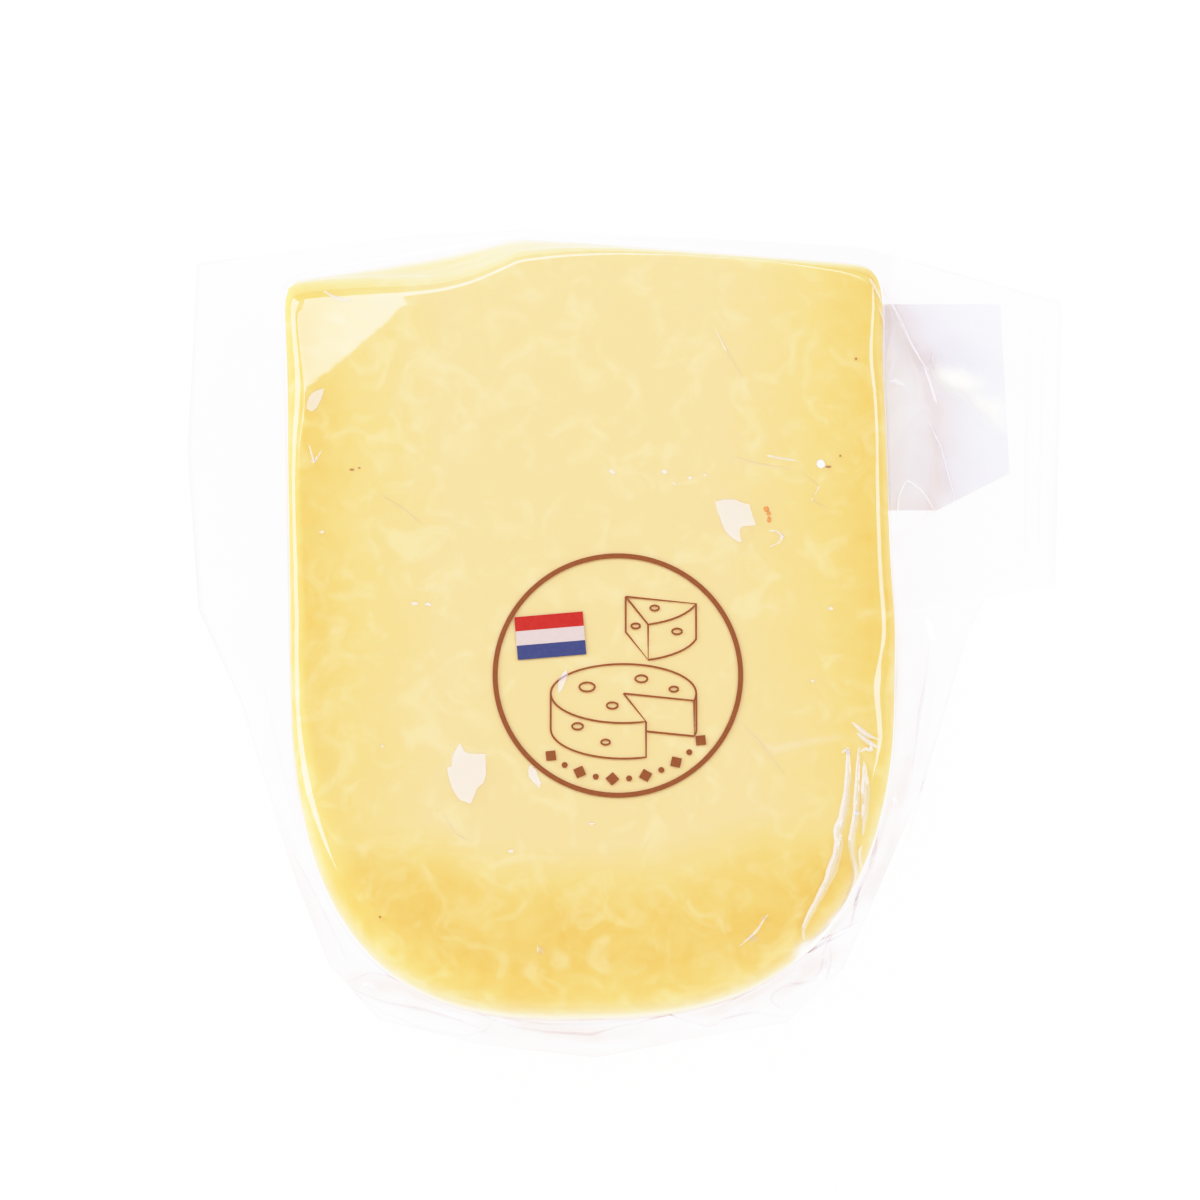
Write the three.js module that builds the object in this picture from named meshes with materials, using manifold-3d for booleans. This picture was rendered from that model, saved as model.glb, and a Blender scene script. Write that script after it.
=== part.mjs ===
// A wedge of gouda, vacuum packed in a clear bag. It lies on one cut face and shows the other.
// Millimetres, +Z up, origin in the middle of the pack on the table. +X is the shown face's right
// and +Y runs to the wedge's thin end.
import * as THREE from "three";
import { mergeVertices } from "three/addons/utils/BufferGeometryUtils.js";
import Module from "manifold-3d";

const { clamp, degToRad, smoothstep, lerp } = THREE.MathUtils;

// The wheel that the wedge was cut from. Its axis runs along the wedge's own X.
const WHEEL_HEIGHT = 108; // between the wedge's left and right walls
const WHEEL_RADIUS = 190;
const WEDGE_ANGLE = degToRad(13.5); // between the two cut faces

// The cheese's edges, softened by the tight film: of the shown face at the walls, the rind and the
// thin end, and of the base.
const SIDE_EDGE_RADIUS = 4;
const RIND_EDGE_RADIUS = 6.5;
const TIP_EDGE_RADIUS = 2;
const BASE_EDGE_RADIUS = 1.5;

// The wedge's base outline, seen from above, about the point where its straight sides end.
const WEDGE_CENTRE = new THREE.Vector2(-6.2, -4);
const WEDGE_TURN = degToRad(1.5); // it lies a little askew in its bag
const RIND_REACH = 63.5; // from that point to the far side of the rind
const RIND_SAG = 3; // how far the soft rind hangs out at the shown face
const RIND_POWER_LEFT = 3; // how square the rind's two rounded corners are: 2 is an ellipse
const RIND_POWER_RIGHT = 2.62;
const CORNER_POWER = 60; // how sharp the corners of the thin end are

// Two knife cuts took the tip off. Each is a line across the base outline, leans in upwards and turns.
const TIP_CUTS = [
  { reach: 81.4, slope: 0.176, lean: 5, turn: 0.09 },
  { reach: 78.1, slope: -0.103, lean: 3, turn: 0 },
];

// The film's pull has bent the thin left corner down, beyond a slanting line on the face.
const SLUMP_START = new THREE.Vector2(-40.3, 52.5); // a point of that line
const SLUMP_WAY = new THREE.Vector2(-0.592, 0.806); // towards the corner
const SLUMP_CURVE = 0.0125; // slope gained with each mm
const SLUMP_LENGTH = 11; // mm over which it still steepens

// The bag's edge, seen from above: top, right, bottom, left.
const BAG_TOP = [[-78.5, 70.1], [-37.6, 75.3], [-18, 76.3], [43.5, 73]];
const BAG_RIGHT = [[80.2, 63.1], [78.9, 11.2], [66, 8.6], [62.4, 1], [55, -24.6], [45, -47.5]];
const BAG_BOTTOM = [[40, -59], [29.7, -69], [11.4, -72.1], [-5.3, -75.3], [-26.8, -73], [-45, -68.6]];
const BAG_LEFT = [[-54.3, -58.2], [-61.5, -39.4], [-70.6, -9.9], [-78, 6.6], [-80.2, 36]];

// The bag's flat margin, two films with a little air between them.
const MARGIN_THICKNESS = 1.2;
const MARGIN_CLEARANCE = 0.7; // between the table and the lowest part of the margin
const RIPPLE_HEIGHT = 2.8;
const RIPPLES = 7; // waves round the bag
const TENT_WIDTH = 2.2; // how far out the film reaches the margin from the wall
const TENT_WIDTH_AT_LABEL = 7.6;
const TENT_START = 0.62; // the part of the wall's height where the film leaves it

// The sticker on the back, half under the cheese. The film holds it flat from one azimuth to another.
const LABEL = { left: 10.6, right: 70.6, bottom: 24.8, top: 62.7, thickness: 0.3 };
const LABEL_CUT = { width: 13.6, height: 6.8 }; // its cut corner
const LABEL_GAP = 0.3; // all round it, to the bag
const LABEL_SECTOR = { from: degToRad(5), to: degToRad(40), fade: degToRad(12) };

// How finely the bag's skin is divided.
const COLUMNS = 120;
const EDGE_STEPS = 6;
const TENT_STEPS = 4;
const FACE_STEPS = [0.5, 0.75, 0.9]; // rows of the face, as shares of its reach

const FULL_TURN = 2 * Math.PI;
const WHEEL_AXIS_Y = WHEEL_RADIUS - RIND_REACH;

// How far the wedge reaches from its centre in one direction, at h between its base, 0, and its face, 1.
function wedgeReach(angle, h) {
  const across = Math.cos(angle);
  const along = Math.sin(angle);
  const side = Math.abs(across) / (WHEEL_HEIGHT / 2);
  if (along < 0) {
    const power = across < 0 ? RIND_POWER_LEFT : RIND_POWER_RIGHT;
    const rind = -along / (RIND_REACH + RIND_SAG * h);
    return (side ** power + rind ** power) ** (-1 / power);
  }
  const cuts = TIP_CUTS.map(({ reach, slope, lean, turn }) =>
    (along - (slope + turn * h) * across) / (reach - lean * h),
  );
  const tip = Math.max(0, ...cuts);
  return (side ** CORNER_POWER + tip ** CORNER_POWER) ** (-1 / CORNER_POWER);
}

// A point of the wedge's wall. The wedge is its base outline swept about the wheel's axis.
function wallPoint(angle, h, inset = 0) {
  const reach = wedgeReach(angle, h) - inset;
  const fromAxis = WHEEL_AXIS_Y - reach * Math.sin(angle);
  const sweep = h * WEDGE_ANGLE;
  const y = WHEEL_AXIS_Y - fromAxis * Math.cos(sweep);
  return new THREE.Vector3(reach * Math.cos(angle), y, fromAxis * Math.sin(sweep));
}

const bagCorners = [...BAG_TOP, ...BAG_RIGHT, ...BAG_BOTTOM, ...BAG_LEFT].map(([x, y]) =>
  new THREE.Vector2(x, y).sub(WEDGE_CENTRE).rotateAround(new THREE.Vector2(), -WEDGE_TURN),
);

// How far the bag's edge is from the wedge's centre in one direction.
function bagReach(angle) {
  const ray = new THREE.Vector2(Math.cos(angle), Math.sin(angle));
  let reach = 0;
  bagCorners.forEach((corner, i) => {
    const next = bagCorners[(i + 1) % bagCorners.length];
    const edge = next.clone().sub(corner);
    const turn = ray.cross(edge);
    const distance = corner.cross(edge) / turn;
    const share = corner.cross(ray) / turn;
    const meets = distance > 0 && share > -1e-9 && share < 1 + 1e-9;
    if (meets) reach = Math.max(reach, distance);
  });
  return reach;
}

// 1 where the label lies under the margin, fading to 0 on both sides.
function labelShare(angle) {
  const { from, to, fade } = LABEL_SECTOR;
  const signed = angle > Math.PI ? angle - FULL_TURN : angle;
  return smoothstep(signed, from - fade, from) * (1 - smoothstep(signed, to, to + fade));
}

// Where the film meets the margin, and the margin's outer edge: its underside there.
function marginInner(angle) {
  const width = lerp(TENT_WIDTH, TENT_WIDTH_AT_LABEL, labelShare(angle));
  const gap = bagReach(angle) - wedgeReach(angle, 0);
  const reach = wedgeReach(angle, 0) + Math.min(width, gap / 2);
  return new THREE.Vector3(reach * Math.cos(angle), reach * Math.sin(angle), MARGIN_CLEARANCE);
}
function marginOuter(angle) {
  const reach = bagReach(angle);
  const ripple = (0.5 + 0.5 * Math.sin(RIPPLES * angle)) * (1 - labelShare(angle));
  const z = MARGIN_CLEARANCE + RIPPLE_HEIGHT * ripple;
  return new THREE.Vector3(reach * Math.cos(angle), reach * Math.sin(angle), z);
}
const raised = (point, height) => point.setZ(point.z + height);

// A point of the film between the wall and the margin, hollow like a tent's side.
function tentPoint(angle, share) {
  const start = wallPoint(angle, TENT_START);
  const end = raised(marginInner(angle), MARGIN_THICKNESS);
  const z = end.z + (start.z - end.z) * (1 - share) ** 2.5;
  return start.lerp(end, share).setZ(z);
}

// The radius of the shown face's edge in one direction.
function faceEdgeRadius(angle) {
  const along = Math.sin(angle);
  const rind = smoothstep(-along, 0.1, 0.8);
  const tip = smoothstep(along, 0.7, 0.9);
  return lerp(lerp(SIDE_EDGE_RADIUS, RIND_EDGE_RADIUS, rind), TIP_EDGE_RADIUS, tip);
}

// A point of a rounded edge of the wedge, turning from its flat face, 0, to its wall, 1.
function edgePoint(angle, share, atFace) {
  const radius = atFace ? faceEdgeRadius(angle) : BASE_EDGE_RADIUS;
  const turn = (share * Math.PI) / 2;
  const height = wallPoint(angle, 1).z;
  const drop = (radius * (1 - Math.cos(turn))) / height;
  const inset = radius * (1 - Math.sin(turn));
  return wallPoint(angle, atFace ? 1 - drop : drop, inset);
}

// How far the slump lowers the shown face at one point.
function slumpDrop(point) {
  const beyond = new THREE.Vector2(point.x, point.y).sub(SLUMP_START).dot(SLUMP_WAY);
  const bent = clamp(beyond, 0, SLUMP_LENGTH);
  const straight = Math.max(beyond - SLUMP_LENGTH, 0);
  return SLUMP_CURVE * (bent ** 2 / 2 + SLUMP_LENGTH * straight);
}

// The bag's skin is a sphere's grid of rows and columns, with each row moved to its place.
// The rows run from the middle of the shown face, out over the margin, to the middle of the base.
const rows = [0, ...FACE_STEPS].map((share) => (angle) =>
  wallPoint(angle, 1, wedgeReach(angle, 1) * (1 - share)),
);
for (let i = 0; i <= EDGE_STEPS; i += 1) rows.push((angle) => edgePoint(angle, i / EDGE_STEPS, true));
for (let i = 0; i <= TENT_STEPS; i += 1) rows.push((angle) => tentPoint(angle, i / TENT_STEPS));
rows.push((angle) => raised(marginOuter(angle), MARGIN_THICKNESS));
rows.push((angle) => marginOuter(angle));
rows.push((angle) => marginInner(angle));
rows.push((angle) => edgePoint(angle, 1 / 3, false));
rows.push((angle) => edgePoint(angle, 0, false));
rows.push((angle) => wallPoint(angle, 0, wedgeReach(angle, 0)));

// Columns stand evenly round the wedge, but the nearest one to each corner of the bag runs through it.
function columnAngles() {
  const angles = Array.from({ length: COLUMNS }, (_, i) => (i * FULL_TURN) / COLUMNS);
  for (const corner of bagCorners) {
    const angle = (corner.angle() + FULL_TURN) % FULL_TURN;
    angles[Math.round((angle / FULL_TURN) * COLUMNS) % COLUMNS] = angle;
  }
  return [...angles, angles[0]];
}

function bagGeometry() {
  const geometry = new THREE.SphereGeometry(1, COLUMNS, rows.length - 1);
  const position = geometry.getAttribute("position");
  const angles = columnAngles();
  rows.forEach((row, i) => {
    angles.forEach((angle, j) => {
      const point = row(angle);
      position.setXYZ(i * angles.length + j, point.x, point.y, point.z);
    });
  });
  geometry.rotateZ(WEDGE_TURN).translate(WEDGE_CENTRE.x, WEDGE_CENTRE.y, 0);
  const point = new THREE.Vector3();
  for (let i = 0; i < position.count; i += 1) {
    point.fromBufferAttribute(position, i);
    const faceHeight = (WEDGE_CENTRE.y + WHEEL_AXIS_Y - point.y) * Math.tan(WEDGE_ANGLE);
    position.setZ(i, point.z * (1 - slumpDrop(point) / faceHeight));
  }
  return geometry;
}

// The label's plate, grown by a gap on all sides for the place that it takes in the bag.
function labelGeometry(gap) {
  const { left, right, bottom, top, thickness } = LABEL;
  const outline = new THREE.Shape();
  outline.moveTo(left - gap, bottom - gap);
  outline.lineTo(right + gap - LABEL_CUT.width, bottom - gap);
  outline.lineTo(right + gap, bottom - gap + LABEL_CUT.height);
  outline.lineTo(right + gap, top + gap);
  outline.lineTo(left - gap, top + gap);
  outline.closePath();
  const plate = { depth: thickness + 2 * gap, bevelEnabled: false };
  return new THREE.ExtrudeGeometry(outline, plate).translate(0, 0, -gap);
}

const wasm = await Module();
wasm.setup();

function solidOf(geometry) {
  const bare = geometry.clone();
  bare.deleteAttribute("normal");
  bare.deleteAttribute("uv");
  const merged = mergeVertices(bare, 1e-3);
  const mesh = new wasm.Mesh({
    numProp: 3,
    vertProperties: merged.getAttribute("position").array,
    triVerts: new Uint32Array(merged.index.array),
  });
  return new wasm.Manifold(mesh);
}

function geometryOf(solid) {
  const { vertProperties, triVerts } = solid.getMesh();
  const geometry = new THREE.BufferGeometry();
  geometry.setAttribute("position", new THREE.BufferAttribute(vertProperties, 3));
  geometry.setIndex(new THREE.BufferAttribute(triVerts, 1));
  geometry.computeVertexNormals();
  return geometry;
}

function piece(name, geometry, color, roughness) {
  const material = new THREE.MeshStandardMaterial({ color, roughness, metalness: 0 });
  const mesh = new THREE.Mesh(geometry, material);
  mesh.name = name;
  return mesh;
}

const bag = solidOf(bagGeometry()).subtract(solidOf(labelGeometry(LABEL_GAP)));

const group = new THREE.Group();
group.add(piece("sealed_bag", geometryOf(bag), 0xf8e3a6, 0.35));
group.add(piece("back_label", labelGeometry(0), 0xf1f1f6, 0.6));

export default group;
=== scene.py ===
# %% [markdown]
# # A vacuum-packed wedge of gouda
# The pack lies on the hidden cut face of its cheese and shows the other one. A clear film clings to
# the cheese and runs out into a flat, crumpled margin, with a sticker on its back. This first cell
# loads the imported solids, whose places and sizes everything below follows.

import math

import bmesh
import bpy
import numpy as np
from mathutils import Matrix, Vector, noise
from mathutils.bvhtree import BVHTree


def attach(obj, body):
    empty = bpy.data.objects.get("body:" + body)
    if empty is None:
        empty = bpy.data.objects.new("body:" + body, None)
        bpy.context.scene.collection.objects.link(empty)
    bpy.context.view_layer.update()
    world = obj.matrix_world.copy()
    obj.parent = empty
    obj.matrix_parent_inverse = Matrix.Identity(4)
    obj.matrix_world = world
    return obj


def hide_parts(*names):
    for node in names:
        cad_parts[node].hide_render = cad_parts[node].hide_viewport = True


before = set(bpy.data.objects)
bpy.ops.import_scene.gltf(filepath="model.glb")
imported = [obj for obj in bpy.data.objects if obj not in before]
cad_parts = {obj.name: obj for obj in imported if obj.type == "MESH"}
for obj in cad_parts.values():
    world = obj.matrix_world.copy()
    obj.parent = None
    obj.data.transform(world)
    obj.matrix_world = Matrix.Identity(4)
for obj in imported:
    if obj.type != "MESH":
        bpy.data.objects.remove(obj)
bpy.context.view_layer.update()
MM = 0.001

# %% [markdown]
# ## The camera
# The pack was seen from straight above through a long lens. A frame of 220 mm at 1.2 m keeps the
# perspective as slight as it looks: the upper edges of the cheese only just cover its walls.

# %% The camera
FRAME_WIDTH = 220.2  # mm of table across the picture
CAMERA_HEIGHT = 1200.0
CAMERA_OVER = (-4.6, 8.4)  # the point of the table in the middle of the picture, mm

lens = bpy.data.cameras.new("camera")
lens.sensor_width = 36.0
lens.lens = lens.sensor_width * CAMERA_HEIGHT / FRAME_WIDTH
camera = bpy.data.objects.new("camera", lens)
camera.location = (CAMERA_OVER[0] * MM, CAMERA_OVER[1] * MM, CAMERA_HEIGHT * MM)
bpy.context.scene.collection.objects.link(camera)
bpy.context.scene.camera = camera
print("lens", round(lens.lens), "mm")

# %% [markdown]
# ## The tone curve
# A camera doesn't cut bright parts off all at once. Its tone curve bends over below white, so that
# yellow under a reflection turns to cream before it turns to white, and a clear film over a white
# table only just shows. The view's own curve does the same here: it is straight up to three quarters
# of white, and reaches white where the light is half as strong again.

# %% The tone curve
TONE_WHITE = 1.5
TONE_BEND = [(0.375, 0.375), (0.75, 0.75), (1.0, 0.91), (1.2, 0.965), (1.35, 0.988)]

view = bpy.context.scene.view_settings
view.view_transform = "Standard"
view.use_curve_mapping = True
view.curve_mapping.white_level = (TONE_WHITE, TONE_WHITE, TONE_WHITE)
tone = view.curve_mapping.curves[3]
for light, shown in TONE_BEND:
    tone.points.new(light / TONE_WHITE, shown)
for point in tone.points:
    point.handle_type = "AUTO_CLAMPED"
view.curve_mapping.update()
print("tone curve with", len(tone.points), "points")

# %% [markdown]
# ## Two helpers for every material
# Colours are written as sRGB hex, as a colour picker shows them, and a shader wants linear values.
# One small function adds a node, sets it up and links its inputs.

# %% Colour and node helpers
def linear(hex_code):
    channels = [int(hex_code[i : i + 2], 16) / 255 for i in (0, 2, 4)]
    return [c / 12.92 if c <= 0.04045 else ((c + 0.055) / 1.055) ** 2.4 for c in channels] + [1.0]


def add_node(tree, kind, inputs=None, **settings):
    node = tree.nodes.new(kind)
    for name, value in settings.items():
        setattr(node, name, value)
    for name, value in (inputs or {}).items():
        if isinstance(value, bpy.types.NodeSocket):
            tree.links.new(value, node.inputs[name])
        else:
            node.inputs[name].default_value = value
    return node


def new_material(name):
    material = bpy.data.materials.new(name)
    material.use_nodes = True
    material.node_tree.nodes.clear()
    return material, material.node_tree


print("mid grey, 808080, is", round(linear("808080")[0], 3), "of white in linear light")

# %% [markdown]
# ## The form of the wedge
# A gouda wheel is cut through its axis, so a wedge is its own base outline swept about that axis. The
# outline is worked out in polar form about one centre: straight sides where the wheel's flat faces
# were, a superellipse for the rounded rind, and two knife cuts that took the tip off. Everything that
# clings to the cheese can then be laid out as a grid of columns round the wedge and rows outwards.

# %% Sizes of the wheel and the wedge
# Lengths are in mm. Directions turn to the left from +X, seen from above. h is the share of the
# wedge's angle, 0 at the table and 1 at the shown face.
WHEEL_HEIGHT = 108.6
WHEEL_RADIUS = 190.0
WEDGE_ANGLE = math.radians(13.5)
WEDGE_CENTRE = np.array([-5.9, -4.0])
WEDGE_TURN = math.radians(1.5)
RIND_REACH = 63.5  # from the centre to the rind, which lies towards -Y
RIND_SAG = 2.0  # how far the soft rind hangs out at the shown face
RIND_POWER_LEFT, RIND_POWER_RIGHT = 2.9, 2.54  # of the superellipse; more is squarer
CORNER_POWER_LEFT, CORNER_POWER_RIGHT = 60.0, 38.0
TIP_CUTS = [(81.9, 0.176), (78.6, -0.103)]  # reach and slope of each, towards +Y
TIP_LEAN = 3.2  # how far both lean in at the shown face
TIP_HOLLOW, HOLLOW_PLACE, HOLLOW_WIDTH = 4.8, -27.0, 18.0  # and how much further in one place
BULGES = [(49, 3.0, 0.6), (128, 5.0, 0.6), (4, 9.0, 0.4)]  # of the soft paste: at, over degrees, by mm
WHEEL_AXIS = WHEEL_RADIUS - RIND_REACH
print("the cheese is", round(RIND_REACH + min(TIP_CUTS)[0], 1), "mm long at its foot")


# %% The wedge's outline and walls
def bumps(angle, listed):
    """The sum of smooth bumps round the wedge, each at a direction, over degrees, by mm."""
    total = np.zeros_like(angle)
    for place, width, more in listed:
        apart = np.degrees((angle - math.radians(place) + math.pi) % (2 * math.pi) - math.pi)
        total = total + more * np.exp(-((apart / width) ** 2))
    return total


def wedge_reach(angle, h=0.0):
    """How far the cheese reaches from its centre."""
    across, along = np.cos(angle), np.sin(angle)
    side = np.abs(across) / (WHEEL_HEIGHT / 2)
    power = np.where(across < 0, RIND_POWER_LEFT, RIND_POWER_RIGHT)
    rind = np.maximum(-along, 0) / (RIND_REACH + RIND_SAG * h)
    rind_side = (side**power + rind**power) ** (-1 / power)
    place = np.mean([reach for reach, _ in TIP_CUTS]) * across / np.maximum(along, 0.5)
    lean = h * (TIP_LEAN + TIP_HOLLOW * np.exp(-(((place - HOLLOW_PLACE) / HOLLOW_WIDTH) ** 2)))
    tip = np.zeros_like(along)
    for reach, slope in TIP_CUTS:
        tip = np.maximum(tip, (along - slope * across) / (reach - lean))
    power = np.where(across < 0, CORNER_POWER_LEFT, CORNER_POWER_RIGHT)
    tip_side = (side**power + tip**power) ** (-1 / power)
    return np.where(along < 0, rind_side, tip_side) + bumps(angle, BULGES)


def wall_point(angle, h, inset=0.0):
    """The outline swept about the wheel's axis."""
    reach = wedge_reach(angle, h) - inset
    from_axis = WHEEL_AXIS - reach * np.sin(angle)
    sweep = h * WEDGE_ANGLE
    y = WHEEL_AXIS - from_axis * np.cos(sweep)
    return np.stack([reach * np.cos(angle), y, from_axis * np.sin(sweep)], -1)


print("the cheese reaches", round(float(wedge_reach(0.0)), 1), "mm to the right of its centre")

# %% [markdown]
# ## The wedge's edges
# A knife leaves a sharp edge, but soft paste under a tight film gets a round one. On the real wedge
# it is crisp at the tip and along the sides and broad at the rind, and it changes a little from place
# to place. The edge's radius is a number for each direction, so the rows of the grid can turn round it.

# %% The wedge's edges
SIDE_EDGE_RADIUS, RIND_EDGE_RADIUS, TIP_EDGE_RADIUS = 3.1, 8.0, 2.0
BASE_EDGE_RADIUS = 1.5
SOFTER_EDGES = [  # where it is rounder, or crisper by a minus: at, over degrees, by mm
    (-8, 8, 2.5), (20, 32, 1.2), (122, 9, 2.2), (136, 6, 2.3), (170, 9, 0.3), (70, 17, -1.3),
    (47, 5, 2.2),
]


def smooth(value, low, high):
    """0 up to low and 1 from high on, with an S-shaped rise between them."""
    share = np.clip((value - low) / (high - low), 0, 1)
    return share * share * (3 - 2 * share)


def face_edge_radius(angle):
    along = np.sin(angle)
    radius = SIDE_EDGE_RADIUS + (RIND_EDGE_RADIUS - SIDE_EDGE_RADIUS) * smooth(-along, 0.1, 0.8)
    radius = radius + (TIP_EDGE_RADIUS - SIDE_EDGE_RADIUS) * smooth(along, 0.7, 0.9)
    return radius + bumps(angle, SOFTER_EDGES)


def edge_point(angle, share, at_face):
    """A rounded edge, turning from the flat face, share 0, to the wall, share 1."""
    radius = face_edge_radius(angle) if at_face else BASE_EDGE_RADIUS
    turn = share * math.pi / 2
    drop = radius * (1 - np.cos(turn)) / wall_point(angle, 1.0)[..., 2]
    return wall_point(angle, 1 - drop if at_face else drop, radius * (1 - np.sin(turn)))


def face_height(x, y):
    """The shown face's height over a point of the table."""
    x, y = x - WEDGE_CENTRE[0], y - WEDGE_CENTRE[1]
    along = y * math.cos(WEDGE_TURN) - x * math.sin(WEDGE_TURN)
    return math.tan(WEDGE_ANGLE) * (WHEEL_AXIS - along)


thick, thin = face_height(0, -62), face_height(0, 70)
print("the wedge is", round(thick, 1), "mm thick at the rind and", round(thin, 1), "at the tip")

# %% [markdown]
# ## The bag's edge
# The bag was cut from film a good deal larger than the cheese, mostly on the right. Its edge is a
# list of corners, and the reach in any direction is where a ray from the centre meets it.

# %% The bag's edge
BAG_EDGE = [
    (-78.5, 70.1), (-37.6, 75.3), (-18.0, 76.3), (43.5, 73.0),
    (80.2, 63.1), (78.9, 11.2), (66.0, 8.6), (62.4, 1.0), (55.0, -24.6), (45.0, -47.5),
    (40.0, -59.0), (29.7, -69.0), (11.4, -72.1), (-5.3, -75.3), (-26.8, -73.0), (-45.0, -68.6),
    (-54.3, -58.2), (-61.5, -39.4), (-70.6, -9.9), (-78.0, 6.6), (-80.2, 36.0),
]


def turned(points, angle):
    """Points turned to the left about the origin, seen from above."""
    c, s = math.cos(angle), math.sin(angle)
    x, y = points[..., 0], points[..., 1]
    return np.stack([c * x - s * y, s * x + c * y, *np.moveaxis(points, -1, 0)[2:]], -1)


bag_corners = turned(np.array(BAG_EDGE) - WEDGE_CENTRE, -WEDGE_TURN)


def reach_to(corners, angle, closed):
    """How far a ray goes from the wedge's centre to a path, 0 where it misses it."""
    ray_x, ray_y = np.cos(angle), np.sin(angle)
    reach = np.zeros_like(ray_x)
    ends = np.roll(corners, -1, 0)[: None if closed else -1]
    for (ax, ay), (bx, by) in zip(corners, ends):
        ex, ey = bx - ax, by - ay
        turn = ray_x * ey - ray_y * ex
        distance = (ax * ey - ay * ex) / turn
        share = (ax * ray_y - ay * ray_x) / turn
        meets = (distance > 0) & (share > -1e-9) & (share < 1 + 1e-9)
        reach = np.where(meets, np.maximum(reach, distance), reach)
    return reach


def bag_reach(angle):
    return reach_to(bag_corners, angle, True)


print("the bag reaches", round(np.hypot(*bag_corners.T).max(), 1), "mm at its farthest corner")

# %% [markdown]
# ## A grid wrapped round the wedge
# Blender's own grid operator makes the faces. Each of its points then moves to its place: across the
# grid runs the direction round the wedge, and down it the way outwards. Where the grid closes on
# itself, its doubled points are merged. Columns stand closer on the right, where the film has most
# of its folds, and the nearest one to each corner of the bag runs through it.

# %% A grid wrapped round the wedge
BUSY_SECTOR = math.radians(-75), math.radians(57)
BUSY_SHARE = 0.55  # of the columns
MERGE_DISTANCE = 2e-7  # m


def column_angles(columns):
    busy = round(columns * BUSY_SHARE)
    start, end = BUSY_SECTOR
    quiet = np.linspace(end, start + 2 * math.pi, columns - busy, endpoint=False)
    angles = np.concatenate([np.linspace(start, end, busy, endpoint=False), quiet])
    for x, y in bag_corners:
        angle = (math.atan2(y, x) - start) % (2 * math.pi) + start
        angles[np.argmin(np.abs(angles - angle))] = angle
    return np.append(angles, angles[0] + 2 * math.pi)


def set_down(points):
    """From the wedge's own frame to the pack's."""
    points = turned(points, WEDGE_TURN)
    points[..., :2] += WEDGE_CENTRE
    return points


def grid_normals(points):
    """Which way the surface faces at each point of a grid that starts at the middle of its top."""
    around = np.roll(points[:, :-1], -1, 1) - np.roll(points[:, :-1], 1, 1)
    around = np.concatenate([around, around[:, :1]], 1)
    normal = np.cross(np.gradient(points, axis=0), around)
    length = np.linalg.norm(normal, axis=-1, keepdims=True)
    normal = np.where(length > 1e-9, normal / np.maximum(length, 1e-9), 0)
    normal[0] = normal[1].mean(0) / np.linalg.norm(normal[1].mean(0))
    normal[-1] = (0, 0, -1)
    return normal


def keep_value(mesh, label, values):
    """Keeps a number for each point of a mesh, which a material can read by its label."""
    values = (np.zeros(len(mesh.vertices)) + values).astype(np.float32)
    mesh.attributes.new(label, "FLOAT", "POINT").data.foreach_set("value", values)


def wrapped_grid(name, points, values):
    rows, columns = points.shape[0] - 1, points.shape[1] - 1
    bm = bmesh.new()
    bmesh.ops.create_grid(bm, x_segments=columns, y_segments=rows, size=0.5)
    mesh = bpy.data.meshes.new(name)
    bm.to_mesh(mesh)
    flat = np.empty(len(mesh.vertices) * 3)
    mesh.vertices.foreach_get("co", flat)
    flat = flat.reshape(-1, 3)
    column = np.rint((flat[:, 0] + 0.5) * columns).astype(int)
    row = np.rint((0.5 - flat[:, 1]) * rows).astype(int)
    mesh.vertices.foreach_set("co", (points[row, column] * MM).ravel())
    for label, value in values.items():
        keep_value(mesh, label, value[row, column])
    bm.clear()
    bm.from_mesh(mesh)
    bmesh.ops.remove_doubles(bm, verts=bm.verts, dist=MERGE_DISTANCE)
    return new_piece(name, bm)


# %% A piece and a noise
def new_piece(name, bm, flat=False):
    """Makes a bmesh an object of the scene, with faces that look smooth or flat."""
    mesh = bpy.data.meshes.new(name)
    bm.to_mesh(mesh)
    bm.free()
    if flat:
        mesh.shade_flat()
    else:
        mesh.shade_smooth()
    piece = bpy.data.objects.new(name, mesh)
    bpy.context.scene.collection.objects.link(piece)
    print(name, len(mesh.polygons), "faces")
    return piece


def rough(points, size, seed):
    """Smooth noise from -1 to 1 over points in mm, with bumps of a size in mm."""
    shift = Vector((seed * 17.3, seed * 5.9, seed * 11.1))
    listed = points.reshape(-1, 3)
    return np.array([noise.noise(Vector(p) / size + shift) for p in listed]).reshape(points.shape[:-1])


print("a grid of 360 steps has", len(column_angles(360)), "columns, as the last one closes it")

# %% [markdown]
# ## The slumped corner
# Young gouda is soft, and the film's pull has drawn the thin left corner down: beyond a slanting line
# the face bends away, ever more steeply at first. Cheese and film bend together, so both their grids
# are lowered by the same function, in proportion to their height above the table.

# %% The slumped corner
SLUMP_START = (-46.3, 54.7)  # a point of the line
SLUMP_WAY = (-0.662, 0.749)  # towards the corner
SLUMP_CURVE = 0.0145  # slope gained with each mm
SLUMP_LENGTH = 11.0  # mm over which it still steepens


def slump(points):
    x, y = points[..., 0], points[..., 1]
    beyond = (x - SLUMP_START[0]) * SLUMP_WAY[0] + (y - SLUMP_START[1]) * SLUMP_WAY[1]
    bent = np.clip(beyond, 0, SLUMP_LENGTH)
    straight = np.maximum(beyond - SLUMP_LENGTH, 0)
    drop = SLUMP_CURVE * (bent * bent / 2 + SLUMP_LENGTH * straight)
    lowered = points.copy()
    lowered[..., 2] *= 1 - drop / face_height(x, y)
    return lowered


corner = np.array([[-57.0, 65.0, face_height(-57.0, 65.0)]])
print("the corner sinks by", round(float((corner - slump(corner))[0, 2]), 1), "mm")

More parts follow.
